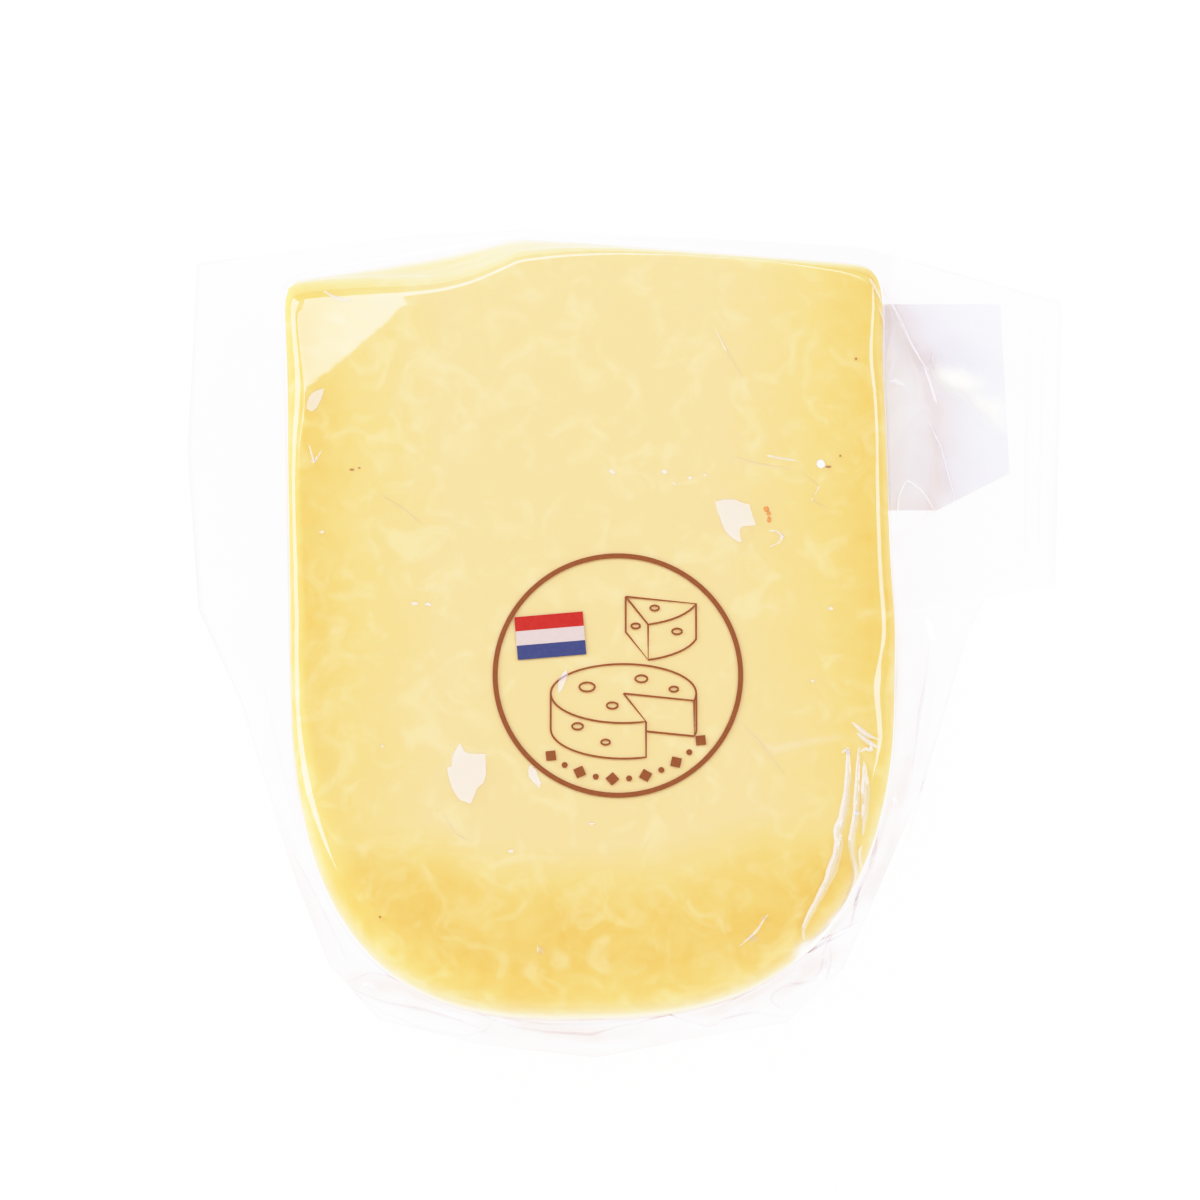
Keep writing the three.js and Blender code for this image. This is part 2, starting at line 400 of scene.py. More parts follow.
# %% [markdown]
# ## The cheese
# The cheese fills the film, so its skin is the wedge's own surface, a hair's breadth inside it. Each
# point also keeps two numbers for the material. One is how deep in the paste it lies, in mm from the
# nearest rind, because gouda is yellower and drier towards its rind; the deeper yellow it gives the
# edges is partly painted shade. The other is a painted glow, how much light would come through the
# paste there: most near the lit table at the thin end, and a little at every edge as painted rim light.

# %% The cheese
CLING = 0.2  # mm between the cheese and the film
CHEESE_COLUMNS = 360
ROUND_DEPTH, ROUND_ZONE = 0.18, 21.0  # the round side is drier and painted in deeper shade: depth counts for less, so far in
BEYOND_DEPTH = 1.2  # and for more beyond that
NO_RIND = 99.0  # mm, where no rind is near


def paste_depth(angle, reach):
    across, along = reach * np.cos(angle), reach * np.sin(angle)
    side = WHEEL_HEIGHT / 2 - np.abs(across)
    inwards = np.where(along < 0, 1 - reach / wedge_reach(angle), 1) * RIND_REACH
    round_side = inwards * ROUND_DEPTH + BEYOND_DEPTH * np.maximum(inwards - ROUND_ZONE, 0)
    open_side = np.where(along < 0, smooth(-along, 0, 40), 0)
    return np.maximum(np.minimum(side, round_side * open_side + NO_RIND * (1 - open_side)), 0)


def cheese_row(angles, share):
    """Rows 0 to 1 lie on the face, to 2 round its edge, to 3 down the wall, to 5 underneath."""
    edge = face_edge_radius(angles)
    if share < 1:
        inset = edge + (wedge_reach(angles, 1.0) - edge) * (1 - share)
        return wall_point(angles, 1.0, inset)
    if share < 2:
        return edge_point(angles, share - 1, True)
    if share < 3:
        height = wall_point(angles, 1.0)[..., 2]
        top, bottom = 1 - edge / height, BASE_EDGE_RADIUS / height
        return wall_point(angles, top + (bottom - top) * (share - 2))
    if share < 4:
        return edge_point(angles, 4 - share, False)
    inset = BASE_EDGE_RADIUS + (wedge_reach(angles, 0.0) - BASE_EDGE_RADIUS) * (share - 4)
    return wall_point(angles, 0.0, inset)


def even(*zones):
    """Row positions: each zone's start, end and number of steps."""
    parts = [np.linspace(start, end, steps, endpoint=False) for start, end, steps in zones]
    return np.append(np.concatenate(parts), zones[-1][1])


cheese_angles = column_angles(CHEESE_COLUMNS)
cheese_rows = even((0, 0.85, 40), (0.85, 1, 20), (1, 2, 12), (2, 3, 20), (3, 4, 4), (4, 5, 8))
cheese_points = np.array([cheese_row(cheese_angles, share) for share in cheese_rows])
cheese_depth = paste_depth(cheese_angles, np.hypot(cheese_points[..., 0], cheese_points[..., 1]))
cheese_points = slump(set_down(cheese_points))
cheese_points -= grid_normals(cheese_points) * CLING
print("the paste is up to", round(float(cheese_depth.max()), 1), "mm deep")

# %% Painted light through the paste
PAINTED_GLOW_FADE = 7.0  # mm above the table over which its light fades
PAINTED_GLOW_ELSEWHERE = 0.3  # of that at the thin end
PAINTED_RIM_GLOW = 0.13  # as light leaks through every edge

# Painted glow: the paste's colour is lightened near the table at the thin end and along every rounded
# edge, where light would shine through it.
at_tip = PAINTED_GLOW_ELSEWHERE + (1 - PAINTED_GLOW_ELSEWHERE) * smooth(np.sin(cheese_angles), 0.62, 0.78)
on_wall = smooth(cheese_rows, 0.9, 1.7)[:, None]
painted_glow = np.exp(-np.maximum(cheese_points[..., 2], 0) / PAINTED_GLOW_FADE) * at_tip * on_wall
at_rind = smooth(-np.sin(cheese_angles), 0.3, 0.6)
rim = smooth(cheese_rows[:, None], 0.95 + 0.4 * at_rind, 1.2 + 0.5 * at_rind)
painted_glow = np.maximum(painted_glow, PAINTED_RIM_GLOW * rim)
cheese = wrapped_grid("cheese", cheese_points, {"depth": cheese_depth, "painted_glow": painted_glow})

# %% [markdown]
# ## The cheese's material: gouda, cut
# Cut gouda is a dense, oily paste that light enters a few millimetres, so it looks soft and waxy, not
# painted. A ramp over the depth in the paste turns it from butter yellow at the rind to pale ivory in
# the middle, and the deeper yellow at the edges is partly painted shade. Three noises vary it: broad
# clouds of 18 mm, as the curds dried unevenly, curd grains of 3 mm and pale wisps of 7 mm, as the knife
# smeared them. Clouds and grains shift the depth, and wisps are mixed in. A painted glow turns the
# paste a light, clear yellow where the lit table would shine through the thin end, and a little at
# every edge.

# %% The cheese's material
CLOUD_SIZE, CLOUD_SHIFT = 18 * MM, 11.0  # the shift in mm of depth, from the noise's 0 to its 1
GRAIN_SIZE, GRAIN_SHIFT = 3 * MM, 12.0
WISP_SIZE, WISPS_FROM, WISPS_TO, WISPS_MOST = 7 * MM, 0.5, 0.7, 0.34
# From deep yellow at the rind, partly painted shade at the edges, to pale ivory in the middle.
PASTE_AND_SHADE_COLOURS = [(4, "DBAB3C"), (9, "DDB655"), (17, "E0BF6B"), (34, "E1C381")]  # at mm of depth
WISP_IVORY = "EED9A0"
PAINTED_GLOW_COLOURS = [(0.55, "F2E486"), (0.85, "FFFCEC")]  # at shares of the light through it
DEEPEST = 40.0  # mm, where the ramp ends

cheese_material, tree = new_material("gouda, cut")
place = add_node(tree, "ShaderNodeTexCoord").outputs["Object"]
depth = add_node(tree, "ShaderNodeAttribute", attribute_name="depth").outputs["Fac"]
clouds = add_node(tree, "ShaderNodeTexNoise", {
    "Vector": place, "Scale": 1 / CLOUD_SIZE, "Detail": 3.0, "Roughness": 0.55,
})
grains = add_node(tree, "ShaderNodeTexNoise", {
    "Vector": place, "Scale": 1 / GRAIN_SIZE, "Detail": 4.0, "Roughness": 0.6,
})
cloudy = add_node(tree, "ShaderNodeMath", {
    0: clouds.outputs["Fac"], 1: CLOUD_SHIFT, 2: -CLOUD_SHIFT / 2,
}, operation="MULTIPLY_ADD")
grainy = add_node(tree, "ShaderNodeMath", {
    0: grains.outputs["Fac"], 1: GRAIN_SHIFT, 2: cloudy.outputs[0],
}, operation="MULTIPLY_ADD")
sum_depth = add_node(tree, "ShaderNodeMath", {0: depth, 1: grainy.outputs[0]}, operation="ADD")
share = add_node(tree, "ShaderNodeMath", {0: sum_depth.outputs[0], 1: DEEPEST}, operation="DIVIDE")
ramp = add_node(tree, "ShaderNodeValToRGB", {"Fac": share.outputs[0]})
for i, (at, colour) in enumerate(PASTE_AND_SHADE_COLOURS):
    stop = ramp.color_ramp.elements[i] if i < 2 else ramp.color_ramp.elements.new(at / DEEPEST)
    stop.position, stop.color = at / DEEPEST, linear(colour)
wisps = add_node(tree, "ShaderNodeTexNoise", {
    "Vector": place, "Scale": 1 / WISP_SIZE, "Detail": 4.0, "Roughness": 0.5, "Distortion": 1.2,
})
wispy = add_node(tree, "ShaderNodeMapRange", {
    "Value": wisps.outputs["Fac"], "From Min": WISPS_FROM, "From Max": WISPS_TO, "To Max": WISPS_MOST,
})
marbled = add_node(tree, "ShaderNodeMix", {"Factor": wispy.outputs[0]}, data_type="RGBA")
tree.links.new(ramp.outputs["Color"], marbled.inputs["A"])
marbled.inputs["B"].default_value = linear(WISP_IVORY)
# The painted glow mixes the paste towards a light yellow, so light shining through is painted into the
# colour.
painted_glow = add_node(tree, "ShaderNodeAttribute", attribute_name="painted_glow").outputs["Fac"]
painted_glow_ramp = add_node(tree, "ShaderNodeValToRGB", {"Fac": painted_glow})
for stop, (at, colour) in zip(painted_glow_ramp.color_ramp.elements, PAINTED_GLOW_COLOURS):
    stop.position, stop.color = at, linear(colour)
paste = add_node(tree, "ShaderNodeMix", {"Factor": painted_glow}, data_type="RGBA")
tree.links.new(marbled.outputs["Result"], paste.inputs["A"])
tree.links.new(painted_glow_ramp.outputs["Color"], paste.inputs["B"])
surface = add_node(tree, "ShaderNodeBsdfPrincipled", {
    "Base Color": paste.outputs["Result"], "Roughness": 0.5, "Specular IOR Level": 0.2,
    "Subsurface Weight": 0.25, "Subsurface Radius": (1.0, 0.6, 0.3), "Subsurface Scale": 3 * MM,
})
add_node(tree, "ShaderNodeOutputMaterial", {"Surface": surface.outputs["BSDF"]})
cheese.data.materials.append(cheese_material)
print(cheese_material.name, "has", len(tree.nodes), "nodes")

# %% [markdown]
# ## The film, stretched over the cheese
# The pack is one closed skin of film: over the face, round the rounded edge and down the wall, then
# in a hollow curve, like a tent's side, to the flat margin, round the bag's edge and back under it
# all. It is laid out row by row, which lets each part have as many rows as its folds need. Beside the
# sticker the tent is wider than elsewhere.

# %% The tent's foot and the margin's height
TENT_START = 0.62  # of the wall's height, where the film leaves it
TENT_WIDTH = 1.6
TENT_FOOT = [  # where the film meets the margin beside the sticker
    (49.0, 19.5), (56.4, 24.5), (57.2, 30.0), (57.2, 45.1), (55.5, 50.4), (51.3, 58.8), (48.0, 65.0),
    (44.5, 71.0),
]
TENT_HOLLOW, LABEL_HOLLOW = 2.5, 1.3  # the curve's power, and how much less it is beside the sticker
MARGIN_CLEARANCE, LABEL_CLEARANCE, BASE_CLEARANCE = 0.5, 0.3, 0.14  # over the table
RIPPLES, RIPPLE_HEIGHT, RIPPLE_POWER = 7, 2.8, 1.6


def over_label(angle):
    """1 where the sticker lies under the margin, fading to 0 on both sides."""
    signed = np.degrees((angle + math.pi) % (2 * math.pi) - math.pi)
    return smooth(signed, -7, 5) * (1 - smooth(signed, 40, 52))


foot_corners = turned(np.array(TENT_FOOT) - WEDGE_CENTRE, -WEDGE_TURN)


def tent_reach(angle):
    near, far = wedge_reach(angle), bag_reach(angle)
    foot = near + np.minimum(TENT_WIDTH, (far - near) / 2)
    return np.maximum(foot, reach_to(foot_corners, angle, False))


def polar(angle, reach, height):
    """Points at a reach in each direction."""
    return np.stack([reach * np.cos(angle), reach * np.sin(angle), height + 0 * reach], -1)


def margin_height(angle, share):
    """How high the margin lies, from the tent's foot, share 0, to the bag's edge, share 1."""
    ripple = (0.5 + 0.5 * np.sin(RIPPLES * angle)) * (1 - over_label(angle))
    floor = MARGIN_CLEARANCE + (LABEL_CLEARANCE - MARGIN_CLEARANCE) * over_label(angle)
    return floor + RIPPLE_HEIGHT * ripple * share**RIPPLE_POWER


label_columns = over_label(column_angles(360)).mean()
print("the sticker lies under", round(100 * float(label_columns)), "% of the columns")

# %% The film's rows
FILM_COLUMNS = 640
FILM_GAP = 0.12  # between the two films where they are sealed
FILM_GAP_INSIDE = 0.5  # and beside the cheese, besides
BASE_INSET = 1.0  # how far inside the cheese's foot the film underneath is flat


def film_row(angles, share):
    """Rows 0 to 1 lie on the face, then come its edge, the wall, the tent, the margin and its back."""
    zone, t = int(share), share - int(share)
    inner, outer = tent_reach(angles), bag_reach(angles)
    edge = face_edge_radius(angles)
    top = 1 - edge / wall_point(angles, 1.0)[..., 2]
    if zone == 0:
        inset = edge + (wedge_reach(angles, 1.0) - edge) * (1 - t)
        return wall_point(angles, 1.0, inset)
    if zone == 1:
        return edge_point(angles, t, True)
    if zone == 2:
        return wall_point(angles, top + (np.minimum(TENT_START, top) - top) * t)
    if zone == 3:
        start = wall_point(angles, np.minimum(TENT_START, top))
        end = polar(angles, inner, margin_height(angles, 0) + FILM_GAP + FILM_GAP_INSIDE)
        row = start * (1 - t) + end * t
        hollow = TENT_HOLLOW - LABEL_HOLLOW * over_label(angles)
        row[..., 2] = end[..., 2] + (start[..., 2] - end[..., 2]) * (1 - t) ** hollow
        return row
    if zone == 4:
        gap = FILM_GAP + FILM_GAP_INSIDE * (1 - t) ** 3
        return polar(angles, inner + (outer - inner) * t, margin_height(angles, t) + gap)
    if zone == 5:
        return polar(angles, outer + (inner - outer) * t, margin_height(angles, 1 - t))
    under = wedge_reach(angles) - BASE_INSET
    if zone == 6:
        height = margin_height(angles, 0) * (1 - t) + BASE_CLEARANCE * t
        return polar(angles, inner + (under - inner) * t, height)
    return polar(angles, under * (1 - t), BASE_CLEARANCE)


film_angles = column_angles(FILM_COLUMNS)
film_rows = even(
    (0, 0.7, 14), (0.7, 1, 14), (1, 2, 20), (2, 3, 7), (3, 4, 16), (4, 5, 52),
    (5, 6, 14), (6, 7, 3), (7, 8, 4),
)
film_points = slump(set_down(np.array([film_row(film_angles, share) for share in film_rows])))
film_share = film_rows[:, None] + 0 * film_angles
print("film laid out on", len(film_rows), "rows")

# %% [markdown]
# ## Broad folds
# Where the vacuum drew the film together it had more of itself than it needed, and the rest stands in
# folds of the margin. Each is a ridge along a short path on the pack as seen from above, with its
# width and height in mm, highest in the middle of its length.

# %% Broad folds
def path_distance(points, path):
    """How far points are from a path, seen from above, and which share of the path is nearest."""
    path = np.array(path, float)
    lengths = np.hypot(*np.diff(path, axis=0).T)
    ends = np.append(0, np.cumsum(lengths)) / lengths.sum()
    nearest = np.full(points.shape[:-1], np.inf)
    along = np.zeros(points.shape[:-1])
    for (ax, ay), (bx, by), low, high in zip(path, path[1:], ends, ends[1:]):
        ex, ey = bx - ax, by - ay
        share = ((points[..., 0] - ax) * ex + (points[..., 1] - ay) * ey) / (ex * ex + ey * ey)
        share = np.clip(share, 0, 1)
        distance = np.hypot(points[..., 0] - ax - share * ex, points[..., 1] - ay - share * ey)
        closer = distance < nearest
        nearest = np.where(closer, distance, nearest)
        along = np.where(closer, low + (high - low) * share, along)
    return nearest, along


FOLD_TAPER = 0.2  # of the length, at both ends


def fold(points, path, width, height):
    distance, along = path_distance(points, path)
    tips = smooth(along, 0, FOLD_TAPER) * (1 - smooth(along, 1 - FOLD_TAPER, 1))
    return height * tips * np.exp(-((distance / width) ** 2))


FOLDS = [  # path, width and height
    ([(48.5, 27.0), (50.5, 29.5), (53.5, 28.2), (56.0, 24.8)], 1.4, 0.9),
    ([(53.1, 10.3), (55.5, 1.1), (55.0, -9.9), (52.2, -26.4), (47.6, -37.4)], 1.2, 0.8),
    ([(-50.0, -62.5), (-41.0, -64.0), (-31.0, -67.5), (-24.5, -70.0)], 2.2, 1.6),
    ([(-22.0, -69.5), (-12.0, -71.5), (-2.0, -72.5), (6.0, -71.0)], 1.5, 1.1),
    ([(10.0, -69.0), (18.0, -67.6), (26.0, -63.6), (33.0, -58.0)], 1.3, 1.2),
    ([(27.5, -66.5), (31.0, -63.5), (35.0, -60.5), (37.6, -57.6)], 2.0, 1.8),
    ([(36.5, -54.0), (42.0, -50.5), (44.5, -45.0)], 1.6, 1.3),
    ([(44.0, -43.0), (47.0, -35.0), (50.0, -27.0)], 1.2, 1.1),
    ([(-64.0, -20.0), (-58.5, -36.0), (-53.0, -50.0)], 1.5, 0.8),
]

fold_lift = sum(fold(film_points, *each) for each in FOLDS)
print(len(FOLDS), "folds, up to", round(fold_lift.max(), 2), "mm high")

# %% [markdown]
# ## The buckle over the sticker
# Beside the sticker's cut corner the margin has buckled: a leaf-shaped strip of film stands at a
# slant and mirrors a softbox as one bright sweep. The film rises across the strip and sinks back
# slowly behind it.

# %% The buckle over the sticker
BUCKLE_PATH = [(55.8, 50.0), (60.0, 49.4), (64.2, 46.8), (67.5, 43.8), (70.6, 39.4)]
BUCKLE_WIDTH = 4.2  # at its widest
BUCKLE_SLOPE = math.tan(math.radians(15))
BUCKLE_BACK = 7.0  # mm over which it sinks back
BUCKLE_WAY = (0.63, 0.78)  # across the strip


def buckle(points):
    distance, along = path_distance(points, BUCKLE_PATH)
    way_x, way_y = BUCKLE_WAY
    ahead = points[..., 0] * way_x + points[..., 1] * way_y
    path_ahead = [way_x * x + way_y * y for x, y in BUCKLE_PATH]
    path_ahead = np.interp(along, np.linspace(0, 1, len(BUCKLE_PATH)), path_ahead)
    signed = np.where(ahead > path_ahead, distance, -distance)
    width = BUCKLE_WIDTH * np.sqrt(np.maximum(np.sin(math.pi * along), 0)) + 1e-6
    rise = np.clip(signed / width + 0.5, 0, 1)
    fall = 1 - smooth(signed - width / 2, 0, BUCKLE_BACK)
    return BUCKLE_SLOPE * width * rise * fall


film_buckle = buckle(film_points)
print("the buckle stands", round(film_buckle.max(), 2), "mm high")

# %% [markdown]
# ## Pleats, swells and crumple
# Down the walls the film hangs in shallow pleats, which make the bright lines on the edges waver. On
# the face it swells over traces of trapped air, mostly a few hundredths of a millimetre high. The
# free margin is crumpled all over. The three are noises, because nobody laid them on purpose, and
# each is shown only where it belongs: on a zone of the film's rows.

# %% Pleats, swells and crumple
PLEATS = [(0.06, 3.0, 1), (0.10, 9.0, 2)]  # height, size and seed of each noise
SWELL = (0.05, 9.0, 3)
CRUMPLE = [(0.35, 11.0, 4), (0.12, 4.0, 5)]
FINE_CRUMPLE = (0.12, 6.0, 6)
SWELL_SPOTS = [  # X, Y, radius and height of the larger ones
    (-57.6, 62.6, 1.9, 0.4), (-52, -2, 7, 0.1), (-44, -12, 8, 0.1), (-28, -34, 8, 0.1),
    (24, -14, 9, 0.1), (34, 12, 9, 0.08), (26, -48, 6, 0.1),
]
PLEATS_REACH = 30.0  # mm from the centre, where the pleats' noise is read
EDGE_SLACK, EDGE_SHARE = 0.26, 0.7  # how far the film stands off the rounded edge, and what of it


def noises(points, *listed):
    """The sum of noises over points, each with a height and a size in mm and a seed."""
    return sum(height * rough(points, size, seed) for height, size, seed in listed)


round_wedge = polar(film_angles, PLEATS_REACH + 0 * film_angles, 0.0)[None] + 0 * film_points
pleats = noises(round_wedge, *PLEATS)
swells = noises(film_points, SWELL)
for x, y, radius, height in SWELL_SPOTS:
    away = np.hypot(film_points[..., 0] - x, film_points[..., 1] - y)
    swells += height * np.exp(-(away / radius) ** 2)
crumple = noises(film_points, *CRUMPLE)
print("pleats up to", round(pleats.max(), 2), "mm, crumple up to", round(crumple.max(), 2), "mm")

# %% Moving the film
CRUMPLE_LIFT = 0.3  # as the margin is pushed up more than down
LABEL_CALM = 0.85  # how much of the crumple the sticker takes out

on_face = 1 - smooth(film_share, 1.8, 3.0)
on_edge = smooth(film_share, 0.9, 1.4) * (1 - smooth(film_share, 3.4, 4.0))
in_margin = smooth(film_share, 3.5, 4.1) * (1 - smooth(film_share, 5.9, 6.3))
on_front = 1 - smooth(film_share, 4.9, 5.1)
label_sector = over_label(film_angles)[None] + 0 * film_share

film_normals = grid_normals(film_points)
outwards = np.maximum(swells, 0) * on_face + (EDGE_SLACK + pleats) * on_edge * EDGE_SHARE
film_points += film_normals * outwards[..., None]
flutter = np.maximum(crumple + CRUMPLE_LIFT, 0) * (1 - LABEL_CALM * label_sector)
film_points[..., 2] += in_margin * (flutter + fold_lift + film_buckle)
film_points[..., 2] += in_margin * on_front * np.maximum(noises(film_points, FINE_CRUMPLE), 0)
print("the margin flutters up to", round((in_margin * flutter).max(), 2), "mm")

# %% [markdown]
# ## Painted reflection of the cheese, and milky places
# A warm reflection of the cheese is painted into the margin beside it and along a few folds. Where the
# film is creased hardest it has turned milky, as stretched plastic does, and the same white paints the
# highlights of the lower right edge, the buckle's sweep and a crease across the face; a touch of it is
# painted sheen over the rounded rind. Each is kept as a number for each point, from 0 to 1, and so is
# how free the film stands.

# %% Painted reflection of the cheese, milk and painted highlights
PAINTED_REFLECTION_PATHS = [
    [(-25, -69.5), (-14, -70.6), (-6, -71)], [(16, -67.5), (26, -63.5), (32, -59.5), (37, -56.5)],
    [(-49, -62), (-42, -63), (-35, -66)], [(44, -44), (47.5, -35), (51, -22)],
]
PAINTED_REFLECTION_WIDTH = 2.4
PAINTED_REFLECTION_FADE = 5  # how fast it fades outwards from the tent's foot
PAINTED_REFLECTION_PATCHES, MILK_AND_HIGHLIGHT_PATCHES = (0.5, 4.0, 7), (0.7, 3.5, 8)  # noises, as for the crumple
# Painted sheen: a lighter band of the white over the rounded rind.
RIND_PAINTED_SHEEN = 0.2
# Milk, and painted highlights where the film mirrored a softbox: the lower right edge's bright lines,
# the buckle's sweep over the sticker and a pale crease across the face.
MILK_AND_HIGHLIGHT_PATHS = [  # path, width and strength
    ([(44.2, -35.0), (43.6, -39.5), (41.3, -46.2), (35.2, -51.8), (26.8, -57.6)], 1.7, 0.85),
    ([(54.8, 50.6), (60.0, 49.4), (64.2, 46.8), (67.5, 43.8), (71.2, 38.4)], 2.0, 1.15),
    ([(20.4, -20.1), (27.0, -18.2), (34.0, -16.6), (41.0, -15.6)], 0.6, 0.12),
]
HELD = 0.75  # how much less free the film is over the sticker and at the tip

# Painted reflection of the cheese: strongest at the tent's foot on the right and along the listed
# folds.
painted_cheese_reflection = np.exp(-np.maximum(film_share - 4, 0) * PAINTED_REFLECTION_FADE) * smooth(film_points[..., 0], -30, 30)
for path in PAINTED_REFLECTION_PATHS:
    painted_cheese_reflection = np.maximum(painted_cheese_reflection, np.exp(-((path_distance(film_points, path)[0] / PAINTED_REFLECTION_WIDTH) ** 4)))
painted_cheese_reflection *= in_margin * on_front * np.clip(0.75 + noises(film_points, PAINTED_REFLECTION_PATCHES), 0, 1)
tip_sector = smooth(np.sin(film_angles), 0.7, 0.85)[None] + 0 * film_share
free = smooth(film_share, 2.6, 3.1) * (1 - HELD * np.maximum(label_sector, tip_sector))
milk_and_painted_highlight = 0 * film_share
for path, width, most in MILK_AND_HIGHLIGHT_PATHS:
    distance, along = path_distance(film_points, path)
    ends = smooth(along, 0, 0.3) * (1 - smooth(along, 0.75, 1))
    milk_and_painted_highlight = np.maximum(milk_and_painted_highlight, most * ends * np.exp(-((distance / width) ** 2)))
milk_and_painted_highlight *= np.clip(0.85 + noises(film_points, MILK_AND_HIGHLIGHT_PATCHES), 0, 1)
at_rind = smooth(-np.sin(film_angles), 0.3, 0.6)
at_rind = at_rind * smooth(film_share, 1.4, 1.9) * (1 - smooth(film_share, 2.0, 2.4))
milk_and_painted_highlight = on_front * np.minimum(np.maximum(milk_and_painted_highlight, RIND_PAINTED_SHEEN * at_rind), 1)
film = wrapped_grid("film", film_points, {"painted_cheese_reflection": painted_cheese_reflection, "free": free, "milk_and_painted_highlight": milk_and_painted_highlight})

# %% [markdown]
# ## The film's material: polyamide and polyethylene, cast
# The clear sheet of a vacuum pack is two plastics cast together, as smooth as glass. It passes nearly
# all light with a trace of cool grey, and mirrors more the flatter it is seen. A sheet has two faces
# that mirror, one of which is wetted by the cheese, so its share head on is between one face's and
# two. The share depends only on the angle, so it is worked out here as Schlick's curve, which is the
# same from both sides of the sheet. Where it stands free and steep, light crosses more of it, which
# tints its folds. Beside the cheese a painted reflection of the cheese warms it. Hard creases scatter
# light, as milk does, and the same white diffuse paints highlights where the film mirrored a softbox.
# Fine stretch marks make the reflections tremble.

# %% The film's material
MIRRORED_HEAD_ON = 0.065
MIRRORED_GRAZING = 0.5  # as a real sheet is too wavy to mirror all, however flat it is seen
FILM_ROUGHNESS = 0.05
CLEAR, PAINTED_REFLECTION_TINT, SLANTED = "FCFCFF", "F3E9E7", "EEE6E7"  # what clean film, film with the painted reflection of the cheese, and slanting film let through
SLANT_TINT = 1.2  # how soon a slant takes its whole tint
STRETCH_MARKS, MARK_DEPTH, MARK_STRENGTH = 5 * MM, 0.1 * MM, 0.25

film_material, tree = new_material("polyamide and polyethylene film, cast clear")
place = add_node(tree, "ShaderNodeTexCoord").outputs["Object"]
marks = add_node(tree, "ShaderNodeTexNoise", {
    "Vector": place, "Scale": 1 / STRETCH_MARKS, "Detail": 2.0, "Roughness": 0.5,
})
bump = add_node(tree, "ShaderNodeBump", {
    "Height": marks.outputs["Fac"], "Strength": MARK_STRENGTH, "Distance": MARK_DEPTH,
})
facing = add_node(tree, "ShaderNodeLayerWeight", {"Blend": 0.5})
fifth = add_node(tree, "ShaderNodeMath", {0: facing.outputs["Facing"], 1: 5.0}, operation="POWER")
mirrored = add_node(tree, "ShaderNodeMath", {
    0: fifth.outputs[0], 1: MIRRORED_GRAZING, 2: MIRRORED_HEAD_ON,
}, operation="MULTIPLY_ADD")
wet = add_node(tree, "ShaderNodeAttribute", attribute_name="wet").outputs["Fac"]
dry = add_node(tree, "ShaderNodeMath", {0: 1.0, 1: wet}, operation="SUBTRACT")
shown = add_node(tree, "ShaderNodeMath", {
    0: mirrored.outputs[0], 1: dry.outputs[0],
}, operation="MULTIPLY")
# Milk and painted highlight: a white diffuse share, so creases and highlights show white under any
# lamp.
milk_and_painted_highlight = add_node(tree, "ShaderNodeAttribute", attribute_name="milk_and_painted_highlight").outputs["Fac"]
milk_and_highlight = add_node(tree, "ShaderNodeMath", {0: milk_and_painted_highlight, 1: dry.outputs[0]}, operation="MULTIPLY")
unmirrored = add_node(tree, "ShaderNodeMath", {0: 1.0, 1: shown.outputs[0]}, operation="SUBTRACT")
without_milk_and_highlight = add_node(tree, "ShaderNodeMath", {0: 1.0, 1: milk_and_highlight.outputs[0]}, operation="SUBTRACT")
passed = add_node(tree, "ShaderNodeMath", {
    0: unmirrored.outputs[0], 1: without_milk_and_highlight.outputs[0],
}, operation="MULTIPLY")
kept = add_node(tree, "ShaderNodeMath", {0: 1.0, 1: passed.outputs[0]}, operation="SUBTRACT")
milk_and_highlight_share = add_node(tree, "ShaderNodeMath", {
    0: milk_and_highlight.outputs[0], 1: kept.outputs[0],
}, operation="DIVIDE")
# A warm painted reflection of the cheese, mixed into what the film lets through.
painted_reflection_share = add_node(tree, "ShaderNodeAttribute", attribute_name="painted_cheese_reflection").outputs["Fac"]
tint = add_node(tree, "ShaderNodeMix", {"Factor": painted_reflection_share}, data_type="RGBA")
tint.inputs["A"].default_value = linear(CLEAR)
tint.inputs["B"].default_value = linear(PAINTED_REFLECTION_TINT)
free = add_node(tree, "ShaderNodeAttribute", attribute_name="free").outputs["Fac"]
steep = add_node(tree, "ShaderNodeMath", {0: facing.outputs["Facing"], 1: free}, operation="MULTIPLY")
steeper = add_node(tree, "ShaderNodeMath", {0: steep.outputs[0], 1: SLANT_TINT}, operation="MULTIPLY")
steeper.use_clamp = True
slant = add_node(tree, "ShaderNodeMix", {"Factor": steeper.outputs[0]}, data_type="RGBA")
tree.links.new(tint.outputs["Result"], slant.inputs["A"])
slant.inputs["B"].default_value = linear(SLANTED)
clear = add_node(tree, "ShaderNodeBsdfTransparent", {"Color": slant.outputs["Result"]})
gloss = add_node(tree, "ShaderNodeBsdfAnisotropic", {
    "Color": linear("FFFFFF"), "Roughness": FILM_ROUGHNESS, "Normal": bump.outputs["Normal"],
})
white = add_node(tree, "ShaderNodeBsdfDiffuse", {"Color": linear("FFFFFF")})
solid = add_node(tree, "ShaderNodeMixShader", {
    0: milk_and_highlight_share.outputs[0], 1: gloss.outputs[0], 2: white.outputs[0],
})
mixed = add_node(tree, "ShaderNodeMixShader", {
    0: kept.outputs[0], 1: clear.outputs[0], 2: solid.outputs[0],
})
add_node(tree, "ShaderNodeOutputMaterial", {"Surface": mixed.outputs[0]})
film.data.materials.append(film_material)
print(film_material.name, "has", len(tree.nodes), "nodes")

# %% [markdown]
# ## Sharp creases
# The finest creases are sharper than the film's grid. Each is a thin ridge along a path in mm, seen
# from above, with its width. They come in five groups, because each kind of crease has its own slope
# and its own milk, a white that is partly the film's whitening and partly a painted highlight: long and
# short ones on the face, one knot crumpled into a zigzag, faint ones, those over the sticker and the
# margin's.

